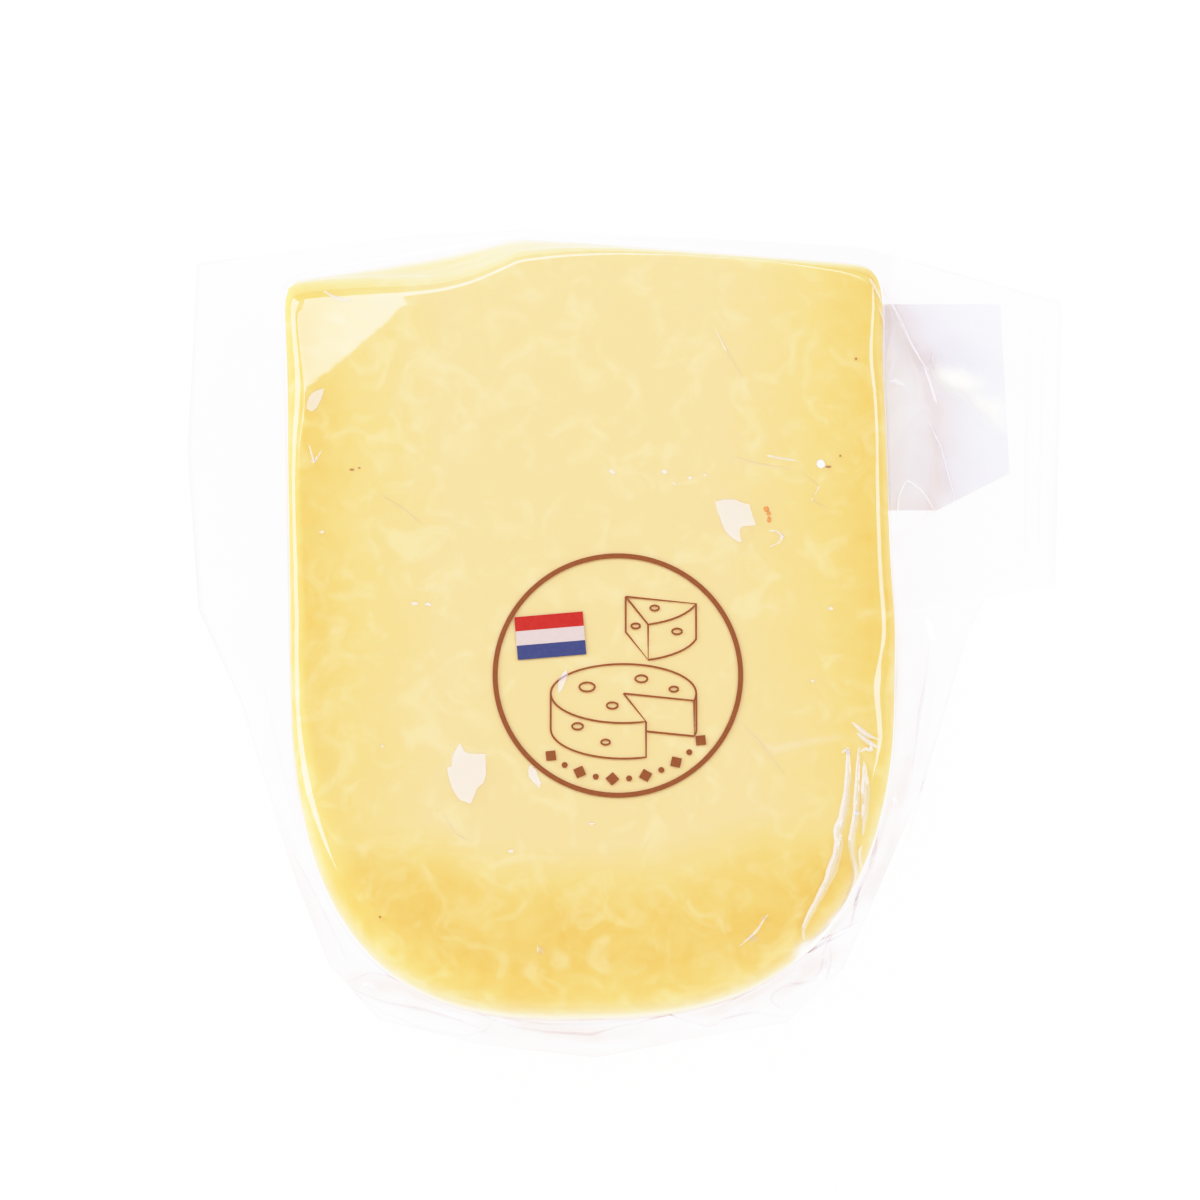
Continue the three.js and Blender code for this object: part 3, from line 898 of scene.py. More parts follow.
# %% Where the creases run
FACE_RIDGES = [
    ([(39.6, -17.9), (39.6, -22.7), (39.2, -27.1), (38.4, -30.7), (37.5, -33.0), (37.9, -34.7),
      (37.4, -37.2), (36.2, -40.7), (34.4, -44.2), (32.6, -47.4), (31.4, -50.0), (31.6, -52.0)], 1.6),
    ([(41.6, -17.7), (41.2, -24.5), (40.8, -30.7), (40.1, -34.2), (40.3, -37.2), (41.0, -40.0),
      (40.6, -42.5), (39.4, -45.3), (37.9, -48.3)], 1.15),
    ([(38.6, -18.9), (39.3, -18.0), (40.0, -19.4)], 0.7),
    ([(41.9, -35.2), (41.5, -37.0), (41.9, -39.4)], 0.7),
    ([(25.3, 34.4), (27.8, 34.0), (30.9, 33.5)], 0.55),
    ([(25.6, 20.8), (27.4, 20.8), (28.3, 19.9), (27.7, 18.7), (25.8, 18.0)], 0.5),
    ([(-57.1, 36.6), (-56.1, 33.1), (-54.7, 35.5)], 0.4),
    ([(20.0, -53.0), (23.0, -50.4), (25.2, -47.2)], 0.5),
    ([(42.5, -20.5), (42.7, -27.5), (42.2, -33.5)], 1.5),
    ([(-54.8, 64.6), (-53.5, 63.7), (-51.8, 63.0), (-49.4, 62.7)], 0.7),
    ([(44.3, 66.9), (45.6, 64.6), (46.6, 62.2)], 0.6),
    ([(45.9, 61.4), (46.9, 59.4), (47.1, 57.2)], 0.5),
]
ZIGZAG_RIDGES = [  # one crumpled knot of them, hard, milky and painted white as a highlight
    ([(40.4, -13.4), (42.0, -14.8), (43.2, -15.8), (44.9, -16.4)], 0.9),
    ([(41.2, -15.2), (42.3, -16.2), (43.7, -17.2), (45.1, -18.0)], 0.85),
    ([(41.8, -18.7), (42.8, -17.9), (43.9, -18.7), (43.6, -16.8)], 0.75),
]
FAINT_RIDGES = [
    ([(16.4, 57.5), (18.6, 53.0), (21.6, 47.8)], 0.45),
    ([(31.6, 31.5), (35.0, 28.8), (33.4, 26.4), (36.8, 24.6)], 0.45),
    ([(18.5, 34.6), (22.4, 33.3), (26.9, 32.4), (30.4, 32.0)], 0.45),
    ([(-44.7, 27.7), (-40.0, 24.9), (-36.2, 21.7)], 0.45),
    ([(-33.0, -29.0), (-30.0, -33.5), (-26.5, -35.0)], 0.45),
    ([(19.3, -12.3), (24.0, -17.0), (29.1, -23.8)], 0.45),
]
LABEL_RIDGES = [
    ([(46.7, 66.3), (48.2, 63.9), (50.7, 59.4), (52.7, 54.8), (54.9, 51.3), (56.8, 49.8)], 0.8),
    ([(56.8, 50.4), (56.2, 52.4), (56.4, 53.9)], 0.7),
    ([(55.3, 41.6), (57.9, 36.5), (59.5, 30.4), (60.8, 25.8)], 0.5),
    ([(48.2, 48.2), (49.5, 48.5), (51.1, 47.4)], 1.0),
    ([(49.1, 22.4), (49.8, 27.7), (51.3, 30.4), (54.1, 28.6), (57.4, 24.0)], 0.6),
]
MARGIN_RIDGES = [  # with the slope in degrees, too
    ([(48.4, 15.8), (48.8, 9.7), (49.1, 2.0), (49.5, -6.2), (49.1, -10.2), (48.5, -14.8),
      (48.0, -20.9)], 0.8, 44),
    ([(55.7, 1.1), (55.5, -2.6), (54.9, -7.1), (54.0, -11.7), (53.3, -17.8), (52.6, -22.9)], 0.6, 44),
    ([(56.8, -17.2), (55.5, -20.9), (54.0, -28.2), (51.3, -37.4)], 0.5, 42),
    ([(48.4, -18.1), (47.4, -24.5), (46.3, -31.9), (45.8, -36.8), (44.9, -41.0), (42.7, -45.0),
      (41.8, -47.8)], 0.8, 42),
    ([(43.6, -50.0), (37.0, -53.3), (32.0, -55.3), (27.1, -58.8), (22.9, -61.7), (17.4, -65.2),
      (10.6, -66.7), (2.7, -68.9)], 0.6, 46),
    ([(42.9, -51.2), (36.9, -54.3), (32.3, -56.6), (27.4, -60.2), (22.9, -63.1),
      (17.6, -66.1)], 0.5, 44),
    ([(37.9, -52.9), (36.3, -56.2), (36.1, -58.8), (34.4, -61.5), (29.7, -62.1), (27.1, -63.5),
      (26.6, -65.2), (28.9, -66.7)], 0.6, 46),
    ([(17.4, -68.5), (21.1, -67.6), (24.2, -67.2), (27.1, -67.9), (30.2, -67.9)], 0.5, 44),
    ([(6.4, -66.9), (10.6, -68.5), (15.0, -69.8), (17.4, -69.2)], 0.5, 44),
    ([(31.6, -55.3), (33.3, -56.4), (36.1, -54.8), (37.5, -52.9)], 0.5, 42),
    ([(37.6, -54.6), (37.8, -58.2), (36.6, -61.6)], 0.5, 44),
    ([(39.4, -52.0), (41.2, -51.5), (41.8, -48.9), (43.2, -44.0)], 0.55, 44),
    ([(-50.9, -61.5), (-46.9, -59.9), (-43.6, -60.4), (-39.6, -61.9), (-34.6, -64.5), (-28.9, -66.1),
      (-22.5, -67.2), (-17.6, -68.1)], 0.55, 46),
    ([(-50.2, -62.8), (-44.5, -65.2), (-36.3, -66.8), (-30.6, -68.5), (-26.6, -70.1)], 0.6, 46),
    ([(-50.0, -63.6), (-45.1, -66.6), (-38.9, -69.6), (-34.0, -70.8), (-29.5, -71.6), (-25.6, -70.6),
      (-23.4, -68.1)], 0.5, 42),
    ([(-27.3, -67.2), (-20.9, -69.8), (-14.3, -70.7), (-6.2, -71.2), (-1.3, -69.8), (3.5, -68.9),
      (8.4, -67.6)], 0.55, 46),
    ([(-22.9, -68.2), (-14.3, -69.3), (-6.2, -69.3), (2.0, -68.6)], 0.5, 42),
    ([(-60.8, -38.0), (-57.6, -44.0), (-53.6, -52.0), (-50.8, -58.0)], 0.4, 42),
    ([(-66.5, -6.0), (-62.9, -22.0), (-60.0, -34.0)], 0.35, 45),
    ([(76.9, 60.5), (76.2, 40.0), (75.9, 14.5)], 0.3, 40),
    ([(74.4, 60.0), (73.6, 38.0), (73.2, 14.5)], 0.3, 40),
]
CREASE_GROUPS = (FACE_RIDGES, ZIGZAG_RIDGES, FAINT_RIDGES, LABEL_RIDGES, MARGIN_RIDGES)
print(sum(len(group) for group in CREASE_GROUPS), "creases in", len(CREASE_GROUPS), "groups")

# %% [markdown]
# ## A crease as a ridge
# A ray cast down onto the film gives the height of each point. A ridge has two flanks and a narrow
# crest, and is closed underneath. The path is smoothed first, and the width wavers a little and runs
# out at both ends. A flank mirrors a softbox only at the right slope from the level, which is another
# one across the pack than along it. The margin's folds are steeper. The mesh marks the undersides,
# which are wet and mirror nothing.

# %% A crease as a ridge
CREST = 0.3  # of the ridge's width
CREST_GAP = 0.03  # over the film at least
RIDGE_LIFT = 0.01
RIDGE_STEP = 0.4  # mm along the path
RIDGE_WAVER, WAVER_SIZE = 0.35, 2.2  # of its width, and over how many mm
SLOPE_ALONG, SLOPE_ACROSS = 29.0, 21.5  # degrees, of creases that run along and across the pack
MILK_AND_HIGHLIGHT_ACROSS = (0.6, 1, 0.6, 0)  # of a flank, the crest, the other flank and the underside
UNDERSIDE = 3
RAY_FROM = 100.0  # mm over the table
film_faces = [polygon.vertices for polygon in film.data.polygons]
film_tree = BVHTree.FromPolygons([vert.co for vert in film.data.vertices], film_faces)


def film_top(x, y):
    spot = film_tree.ray_cast(Vector((x * MM, y * MM, RAY_FROM * MM)), Vector((0, 0, -1)))[0]
    return spot.z / MM if spot else 0.0


def smooth_path(path):
    """A path's points at even steps, with its corners rounded off."""
    path = np.array(path, float)
    lengths = np.append(0, np.cumsum(np.hypot(*np.diff(path, axis=0).T)))
    stations = np.linspace(0, lengths[-1], max(round(lengths[-1] / RIDGE_STEP), 4) + 1)
    line = np.stack([np.interp(stations, lengths, path[:, i]) for i in (0, 1)], -1)
    for _ in range(3):
        line[1:-1] = (line[:-2] + 2 * line[1:-1] + line[2:]) / 4
    return line


def add_ridge(bm, path, width, slope, most, ceiling, seed):
    """One crease: rings of two feet and two tops across the path, joined by faces."""
    line = smooth_path(path)
    way = np.gradient(line, axis=0)
    way /= np.linalg.norm(way, axis=1, keepdims=True)
    waver = 1 + RIDGE_WAVER * rough(np.column_stack([line, 0 * line[:, 0]]), WAVER_SIZE, seed)
    half = width / 2 * waver * np.sqrt(np.sin(math.pi * np.linspace(0.01, 0.99, len(line))))
    rings = []
    for (x, y), (wx, wy), reach in zip(line, way, half):
        steep = slope or SLOPE_ACROSS * abs(wx) + SLOPE_ALONG * abs(wy)
        rise = (1 - CREST) * reach * math.tan(math.radians(steep))
        ring = []
        for side in (-1, 1):
            foot = Vector((x - wy * side * reach, y + wx * side * reach, 0))
            foot.z = min(film_top(foot.x, foot.y) + RIDGE_LIFT, ceiling)
            top = Vector((x - wy * side * CREST * reach, y + wx * side * CREST * reach, 0))
            top.z = max(foot.z + rise, min(film_top(top.x, top.y) + CREST_GAP, ceiling))
            ring += [foot, top] if side < 0 else [top, foot]
        rings.append([bm.verts.new(vert * MM) for vert in ring])
    wet, milk_and_highlight = bm.faces.layers.float["wet"], bm.faces.layers.float["milk_and_painted_highlight"]
    for one, two in zip(rings, rings[1:]):
        for i in range(4):
            face = bm.faces.new((one[i], two[i], two[(i + 1) % 4], one[(i + 1) % 4]))
            face[wet] = 1.0 if i == UNDERSIDE else 0.0
            face[milk_and_highlight] = most * MILK_AND_HIGHLIGHT_ACROSS[i]
    bm.faces.new(rings[0])
    bm.faces.new(rings[-1][::-1])


print("a ray meets the film at", round(film_top(0, 0), 1), "mm over the middle of the pack")

# %% [markdown]
# ## The creases' pieces
# Each group becomes one piece, which stands as free and has its milk and painted highlight all along.
# The faint ones have none of it. A crease of the margin has a ceiling, so that it doesn't climb the
# wall beside it.

# %% The creases' pieces
RIDGE_CEILING = 5.0  # mm


def ridges(name, listed, free, milk_and_painted_highlight, ceiling=math.inf):
    bm = bmesh.new()
    for label in ("wet", "milk_and_painted_highlight"):
        bm.faces.layers.float.new(label)
    for seed, (path, width, *slope) in enumerate(listed):
        add_ridge(bm, path, width, slope[0] if slope else None, milk_and_painted_highlight, ceiling, seed)
    bmesh.ops.recalc_face_normals(bm, faces=bm.faces)
    piece = new_piece(name, bm, flat=True)
    keep_value(piece.data, "free", free)
    piece.data.materials.append(film_material)
    return piece


# The last number is each group's milk and painted highlight: white mixed in where the creases mirrored
# a softbox.
creases = [
    ridges("film_creases_face", FACE_RIDGES, 0.0, 0.25),
    ridges("film_creases_zigzag", ZIGZAG_RIDGES, 0.0, 0.4),
    ridges("film_creases_faint", FAINT_RIDGES, 0.0, 0.0),
    ridges("film_creases_label", LABEL_RIDGES, 0.0, 0.4),
    ridges("film_creases_margin", MARGIN_RIDGES, 1.0, 0.05, RIDGE_CEILING),
]

# %% [markdown]
# ## Air pockets
# In a few places a crumb or a cut mark keeps the film off the cheese, and it stands there as a small
# crisp blister, tilted enough to mirror a softbox. Each starts as one face with the blister's outline,
# extruded up. The top is inset, which leaves a soft shoulder all round, and tilted as a whole. Tiny
# ones are only glints, so an uneven hexagon is enough for their outline.

# %% Air pockets
POCKETS = [
    [(16.1, 26.1), (17.0, 26.6), (19.7, 26.7), (21.0, 26.1), (22.4, 25.7), (23.6, 21.7),
     (21.1, 21.5), (20.6, 20.7), (21.0, 18.7), (20.2, 18.6), (18.4, 19.9), (17.3, 21.4),
     (16.7, 23.5)],
    [(-29.6, -16.9), (-28.7, -18.4), (-27.8, -18.8), (-24.9, -18.9), (-24.7, -22.7),
     (-25.1, -24.2), (-26.3, -25.1), (-27.0, -27.1), (-27.5, -28.0), (-28.6, -27.7),
     (-29.7, -27.3), (-30.8, -25.8), (-31.4, -24.5), (-32.0, -22.0), (-31.9, -21.2),
     (-31.2, -21.1), (-31.0, -19.3)],
    [(-17.2, -20.8), (-15.9, -21.7), (-15.4, -23.1), (-14.9, -24.2), (-15.3, -25.2),
     (-16.7, -24.2), (-17.5, -23.1), (-17.6, -22.0)],
    [(-57.8, 43.4), (-57.5, 45.0), (-56.8, 45.9), (-55.5, 46.6), (-54.3, 46.8),
     (-54.7, 44.8), (-55.7, 42.9), (-56.5, 42.2), (-57.4, 42.5)],
    [(-12.3, -6.4), (-11.7, -5.0), (-10.7, -3.9), (-10.1, -5.1), (-11.2, -7.6), (-12.1, -8.4)],
]
GLINTS = [  # X, Y and half the width
    (-2.2, 31.5, 0.8), (7.1, 31.5, 0.7), (8.8, 29.3, 0.5), (11.6, 30.4, 0.6), (14.3, 31.0, 0.5),
    (-37.8, 7.9, 0.8), (-35.4, 7.5, 0.7), (-56.2, 33.4, 0.5), (-54.6, 20.7, 0.6),
    (-15.2, -53.5, 0.9), (22.6, -51.6, 0.8), (24.4, -48.0, 0.5), (28.2, 19.8, 0.5),
    (36.6, 7.0, 0.7), (33.4, -6.0, 0.6), (-43.5, -17.6, 0.5), (-20.6, -36.2, 0.6),
    (-6.2, -31.4, 0.6), (41.2, -29.4, 0.6),
]
POCKET_TILT = math.radians(6.5)
POCKET_WAY = Vector((-0.25, 0.97))
POCKET_SHOULDER = 0.22  # mm
POCKET_LIFT = 0.12  # of its lowest point
POCKET_GAP = 0.06  # over the face, under all of it
# A faint painted highlight: a little white in the pockets' film, so they show paler under any lamp.
POCKET_MILK_AND_HIGHLIGHT = 0.04


def on_the_face(bm, lift):
    """Moves a flat shape, whose X and Y are places on the table in mm, up onto the shown face."""
    for vert in bm.verts:
        x, y, z = vert.co
        vert.co = Vector((x, y, face_height(x, y) + z + lift)) * MM


def speckle(x, y, half):
    """The outline of a tiny pocket, uneven and six-sided."""
    turns = [i * math.pi / 3 for i in range(6)]
    far = [half * (1 + 0.7 * noise.noise(Vector((x * 3, y * 3, i * 2.7)))) for i in range(6)]
    return [(x + r * math.cos(a), y + 0.8 * r * math.sin(a)) for a, r in zip(turns, far)]


pocket_bm = bmesh.new()
wet = pocket_bm.faces.layers.float.new("wet")
for outline in [*POCKETS, *(speckle(*place) for place in GLINTS)]:
    bottom = pocket_bm.faces.new([pocket_bm.verts.new((x, y, 0)) for x, y in reversed(outline)])
    grown = bmesh.ops.extrude_face_region(pocket_bm, geom=[bottom], use_keep_orig=True)["geom"]
    bottom[wet] = 1.0
    top = next(part for part in grown if isinstance(part, bmesh.types.BMFace))
    top.normal_flip()
    bmesh.ops.inset_region(pocket_bm, faces=[top], thickness=POCKET_SHOULDER, use_even_offset=False)
    low = max(vert.co.xy.dot(POCKET_WAY) for vert in top.verts)
    for vert in top.verts:
        vert.co.z = POCKET_LIFT + (low - vert.co.xy.dot(POCKET_WAY)) * math.tan(POCKET_TILT)
bmesh.ops.recalc_face_normals(pocket_bm, faces=pocket_bm.faces)
on_the_face(pocket_bm, POCKET_GAP)
pockets = new_piece("film_pockets", pocket_bm, flat=True)
keep_value(pockets.data, "milk_and_painted_highlight", POCKET_MILK_AND_HIGHLIGHT)
pockets.data.materials.append(film_material)

# %% [markdown]
# ## The sticker
# A paper label is stuck to the back of the bag, half under the cheese, and shows its blank back
# through the two films. It is a grid cut to size, with one corner cut off, and given its thickness.

# %% The sticker
LABEL_LEFT, LABEL_RIGHT, LABEL_BOTTOM, LABEL_TOP = 10.6, 70.6, 24.8, 62.7
LABEL_CUT = (13.6, 6.8)  # the width and height of the corner that is cut off
LABEL_SKEW, SKEW_FROM = 0.055, 40  # how far its outer edge leans in, and from which X on the rest does
LABEL_THICKNESS = 0.1
LABEL_OVER_TABLE = 0.01

label_bm = bmesh.new()
bmesh.ops.create_grid(label_bm, x_segments=24, y_segments=16, size=0.5)
size = (LABEL_RIGHT - LABEL_LEFT, LABEL_TOP - LABEL_BOTTOM)
bmesh.ops.scale(label_bm, vec=(*size, 1), verts=label_bm.verts)
middle = ((LABEL_LEFT + LABEL_RIGHT) / 2, (LABEL_BOTTOM + LABEL_TOP) / 2, 0)
bmesh.ops.translate(label_bm, vec=middle, verts=label_bm.verts)
everything = list(label_bm.verts) + list(label_bm.edges) + list(label_bm.faces)
bmesh.ops.bisect_plane(
    label_bm, geom=everything, plane_co=(LABEL_RIGHT - LABEL_CUT[0], LABEL_BOTTOM, 0),
    plane_no=(LABEL_CUT[1], -LABEL_CUT[0], 0), clear_outer=True,
)
for vert in label_bm.verts:
    out = max(vert.co.x - SKEW_FROM, 0) / (LABEL_RIGHT - SKEW_FROM)
    vert.co.x -= LABEL_SKEW * (vert.co.y - LABEL_BOTTOM - LABEL_CUT[1]) * out
bmesh.ops.solidify(label_bm, geom=list(label_bm.faces), thickness=LABEL_THICKNESS)
lowest = min(vert.co.z for vert in label_bm.verts)
bmesh.ops.translate(label_bm, vec=(0, 0, LABEL_OVER_TABLE - lowest), verts=label_bm.verts)
bmesh.ops.recalc_face_normals(label_bm, faces=label_bm.faces)
bmesh.ops.scale(label_bm, vec=(MM, MM, MM), verts=label_bm.verts)
label = new_piece("label", label_bm, flat=True)

# %% [markdown]
# ## The sticker's material: coated label paper
# White wood-pulp paper, calendered smooth. Its fibres scatter light evenly, so it is matt, with a
# faint cloudiness of 9 mm from the pulp and a cool tint from its optical brightener.

# %% The sticker's material
PULP_CLOUDS = 9 * MM
PAPER_COLOURS = [(0.3, "EDF1F8"), (0.7, "F0F4F9")]  # at values of the noise

paper, tree = new_material("label paper, calendered")
place = add_node(tree, "ShaderNodeTexCoord").outputs["Object"]
pulp = add_node(tree, "ShaderNodeTexNoise", {
    "Vector": place, "Scale": 1 / PULP_CLOUDS, "Detail": 3.0, "Roughness": 0.6,
})
ramp = add_node(tree, "ShaderNodeValToRGB", {"Fac": pulp.outputs["Fac"]})
for stop, (at, colour) in zip(ramp.color_ramp.elements, PAPER_COLOURS):
    stop.position, stop.color = at, linear(colour)
surface = add_node(tree, "ShaderNodeBsdfPrincipled", {
    "Base Color": ramp.outputs["Color"], "Roughness": 0.75, "Specular IOR Level": 0.3,
})
add_node(tree, "ShaderNodeOutputMaterial", {"Surface": surface.outputs["BSDF"]})
label.data.materials.append(paper)
print(paper.name, "has", len(tree.nodes), "nodes")

# %% [markdown]
# ## The printed roundel
# The film is printed with a ring in brown, a small tricolour flag, a plain drawing of a cheese wheel
# with a piece lifted out, and a row of marks along the lower arc. Ink on film is far thinner than a
# hair, so every shape is a flat mesh, just outside the film, where its trace of a swell can't cover
# it. The ring is two circles bridged.

# %% The printed ring
RING_CENTRE = (-1.4, -5.0)
RING_RADIUS = 22.4
RING_LINE = 0.9
INK_THICKNESS = 0.02
INK_LIFT = 0.13  # above the level of the face
FACE_SLANT = math.cos(WEDGE_ANGLE)


def print_on_face(name, bm):
    """Places a flat print, drawn in mm about the ring's centre, on the sloping face."""
    bmesh.ops.scale(bm, vec=(1, FACE_SLANT, 1), verts=bm.verts)
    bmesh.ops.translate(bm, vec=(*RING_CENTRE, 0), verts=bm.verts)
    on_the_face(bm, INK_LIFT)
    return new_piece(name, bm, flat=True)


ring_bm = bmesh.new()
for radius in (RING_RADIUS, RING_RADIUS - RING_LINE):
    bmesh.ops.create_circle(ring_bm, segments=128, radius=radius)
bmesh.ops.bridge_loops(ring_bm, edges=ring_bm.edges)
bmesh.ops.recalc_face_normals(ring_bm, faces=ring_bm.faces)
bmesh.ops.solidify(ring_bm, geom=list(ring_bm.faces), thickness=INK_THICKNESS)
bmesh.ops.recalc_face_normals(ring_bm, faces=ring_bm.faces)
ring = print_on_face("print_ring", ring_bm)

# %% [markdown]
# ## The flag
# A grid of one by three gives the flag's stripes, which take one ink each. It stands a few degrees
# askew.

# %% The flag
FLAG_SIZE = (12.3, 7.9)
FLAG_PLACE = (-12.1, 7.2)  # from the ring's centre
FLAG_TURN = math.radians(5)

flag_bm = bmesh.new()
bmesh.ops.create_grid(flag_bm, x_segments=1, y_segments=3, size=0.5)
bmesh.ops.scale(flag_bm, vec=(*FLAG_SIZE, 1), verts=flag_bm.verts)
for stripe in flag_bm.faces:
    stripe.material_index = round(1 - stripe.calc_center_median().y / (FLAG_SIZE[1] / 3))
bmesh.ops.solidify(flag_bm, geom=list(flag_bm.faces), thickness=INK_THICKNESS)
bmesh.ops.recalc_face_normals(flag_bm, faces=flag_bm.faces)
turn = Matrix.Rotation(FLAG_TURN, 3, "Z")
bmesh.ops.rotate(flag_bm, cent=(0, 0, 0), matrix=turn, verts=flag_bm.verts)
bmesh.ops.translate(flag_bm, vec=(*FLAG_PLACE, 0), verts=flag_bm.verts)
flag = print_on_face("print_flag", flag_bm)

# %% [markdown]
# ## The line figure
# A line of print is easiest as a curve with a round section, turned into a mesh and pressed flat. The
# wheel and the piece that was lifted out of it are drawn by the same few arcs and straight lines.

# %% The line figure
LINE_WIDTH = 0.36
WHEEL_PLACE = (1.0, -3.4)
PIECE_PLACE = (1.4, 14.4)
WHEEL_HALF = (13.0, 5.4)  # half the width and depth of the drawn wheel's top
WHEEL_TALL = 6.5
PIECE_FROM, PIECE_TO = -72, -14  # degrees round the drawn wheel, seen from its front


def arc(centre, start, end, drop=0.0):
    angles = np.radians(np.linspace(start, end, max(int(abs(end - start) / 6), 4)))
    x = centre[0] + WHEEL_HALF[0] * np.cos(angles)
    return list(zip(x, centre[1] + WHEEL_HALF[1] * np.sin(angles) - drop))


def lower(point):
    return (point[0], point[1] - WHEEL_TALL)


def small_hole(x, y, half):
    angles = np.radians(np.arange(0, 361, 30))
    return [(x + half * math.cos(a), y + 0.6 * half * math.sin(a)) for a in angles]


wheel_rim = arc(WHEEL_PLACE, PIECE_TO, PIECE_FROM + 360)
near_right, near_left = wheel_rim[0], wheel_rim[-1]
far_left = (WHEEL_PLACE[0] - WHEEL_HALF[0], WHEEL_PLACE[1])
far_right = (WHEEL_PLACE[0] + WHEEL_HALF[0], WHEEL_PLACE[1])
piece_rim = arc(PIECE_PLACE, PIECE_FROM, PIECE_TO)
# The near cut face hides this share of the far one.
hidden = (near_left[0] - WHEEL_PLACE[0]) / (near_right[0] - WHEEL_PLACE[0])
cut_foot = (near_left[0], lower(WHEEL_PLACE)[1] + hidden * (near_right[1] - WHEEL_PLACE[1]))
strokes = [
    [WHEEL_PLACE, *wheel_rim, WHEEL_PLACE],
    [far_left, *arc(WHEEL_PLACE, 180, PIECE_FROM + 360, WHEEL_TALL), near_left],
    [near_right, *arc(WHEEL_PLACE, PIECE_TO, 0, WHEEL_TALL), far_right],
    [cut_foot, lower(near_right)],
    [PIECE_PLACE, *piece_rim, PIECE_PLACE],
    [PIECE_PLACE, lower(PIECE_PLACE), lower(piece_rim[0]), piece_rim[0]],
    [lower(piece_rim[0]), *arc(PIECE_PLACE, PIECE_FROM, PIECE_TO, WHEEL_TALL), piece_rim[-1]],
    small_hole(-5.5, -2.2, 1.4), small_hole(-1.0, -5.6, 1.0), small_hole(4.2, -0.7, 1.1),
    small_hole(10.0, -2.6, 0.8), small_hole(-7.2, -9.4, 1.0), small_hole(-2.2, -12.3, 0.8),
    small_hole(3.2, 9.0, 0.8), small_hole(10.6, 8.0, 0.9), small_hole(6.6, 12.3, 0.8),
]

drawing = bpy.data.curves.new("drawing", "CURVE")
drawing.dimensions = "3D"
drawing.bevel_depth = LINE_WIDTH / 2
drawing.bevel_resolution = 1
for stroke in strokes:
    spline = drawing.splines.new("POLY")
    spline.points.add(len(stroke) - 1)
    for point, (x, y) in zip(spline.points, stroke):
        point.co = (x, y, 0, 1)
drawn = bpy.data.objects.new("drawing", drawing)
bpy.context.scene.collection.objects.link(drawn)
depsgraph = bpy.context.evaluated_depsgraph_get()
figure_mesh = bpy.data.meshes.new_from_object(drawn.evaluated_get(depsgraph))
bpy.data.objects.remove(drawn)
figure_bm = bmesh.new()
figure_bm.from_mesh(figure_mesh)
bmesh.ops.scale(figure_bm, vec=(1, 1, INK_THICKNESS / LINE_WIDTH), verts=figure_bm.verts)
figure = print_on_face("print_figure", figure_bm)

# %% [markdown]
# ## The marks along the arc
# A row of diamonds and dots follows the ring's lower arc. Each is a circle of few or many sides.

# %% The marks along the arc
MARKS = 11
MARK_RADIUS = 19.0  # from the ring's centre
MARK_FROM, MARK_TO = math.radians(-129), math.radians(-39)
DIAMOND, DOT = {"segments": 4, "radius": 1.25}, {"segments": 16, "radius": 0.55}

marks_bm = bmesh.new()
for i in range(MARKS):
    angle = MARK_FROM + (MARK_TO - MARK_FROM) * i / (MARKS - 1)
    shape = DIAMOND if i % 2 == 0 else DOT
    made = bmesh.ops.create_circle(marks_bm, cap_ends=True, **shape)["verts"]
    bmesh.ops.rotate(marks_bm, cent=(0, 0, 0), matrix=Matrix.Rotation(angle, 3, "Z"), verts=made)
    spot = (MARK_RADIUS * math.cos(angle), MARK_RADIUS * math.sin(angle), 0)
    bmesh.ops.translate(marks_bm, vec=spot, verts=made)
bmesh.ops.solidify(marks_bm, geom=list(marks_bm.faces), thickness=INK_THICKNESS)
bmesh.ops.recalc_face_normals(marks_bm, faces=marks_bm.faces)
marks_piece = print_on_face("print_marks", marks_bm)

# %% [markdown]
# ## The inks' material: flexographic ink
# Film is printed from soft rubber plates with thin solvent inks. They dry matt and a little uneven,
# as the plate squeezes them out, which a noise of 0.7 mm shows.

# %% The inks' material
INK_MOTTLE = 0.7 * MM
INK_STOPS = (0.35, 0.75)  # the noise's values for a thick and a thin film of ink
BROWN_INK = ("brown", "7C4119", "83491F")
FLAG_INKS = [("red", "A61B11", "AC2419"), ("white", "BDACA3", "C1B1A8"), ("blue", "323866", "383F6A")]


def ink(name, *colours):
    material, tree = new_material(f"flexographic ink, {name}")
    place = add_node(tree, "ShaderNodeTexCoord").outputs["Object"]
    mottle = add_node(tree, "ShaderNodeTexNoise", {"Vector": place, "Scale": 1 / INK_MOTTLE})
    ramp = add_node(tree, "ShaderNodeValToRGB", {"Fac": mottle.outputs["Fac"]})
    for stop, at, colour in zip(ramp.color_ramp.elements, INK_STOPS, colours):
        stop.position, stop.color = at, linear(colour)
    surface = add_node(tree, "ShaderNodeBsdfPrincipled", {
        "Base Color": ramp.outputs["Color"], "Roughness": 0.6, "Specular IOR Level": 0.2,
    })
    add_node(tree, "ShaderNodeOutputMaterial", {"Surface": surface.outputs["BSDF"]})
    return material


brown = ink(*BROWN_INK)
for piece in (ring, figure, marks_piece):
    piece.data.materials.append(brown)
for flag_ink in FLAG_INKS:
    flag.data.materials.append(ink(*flag_ink))
print("the flag takes", len(flag.data.materials), "inks and the rest of the print one")

# %% [markdown]
# ## Crumbs under the film
# A few specks were sealed in: flecks of orange rind, some brown crumbs and one white grain. Each is a
# small ball, made uneven by a seeded noise and pressed flat between cheese and film. The finishes are
# all plain: a dried crumb, a scrap of waxed rind and a grain of milk salt are matt and opaque, and so
# small that only their colour shows.

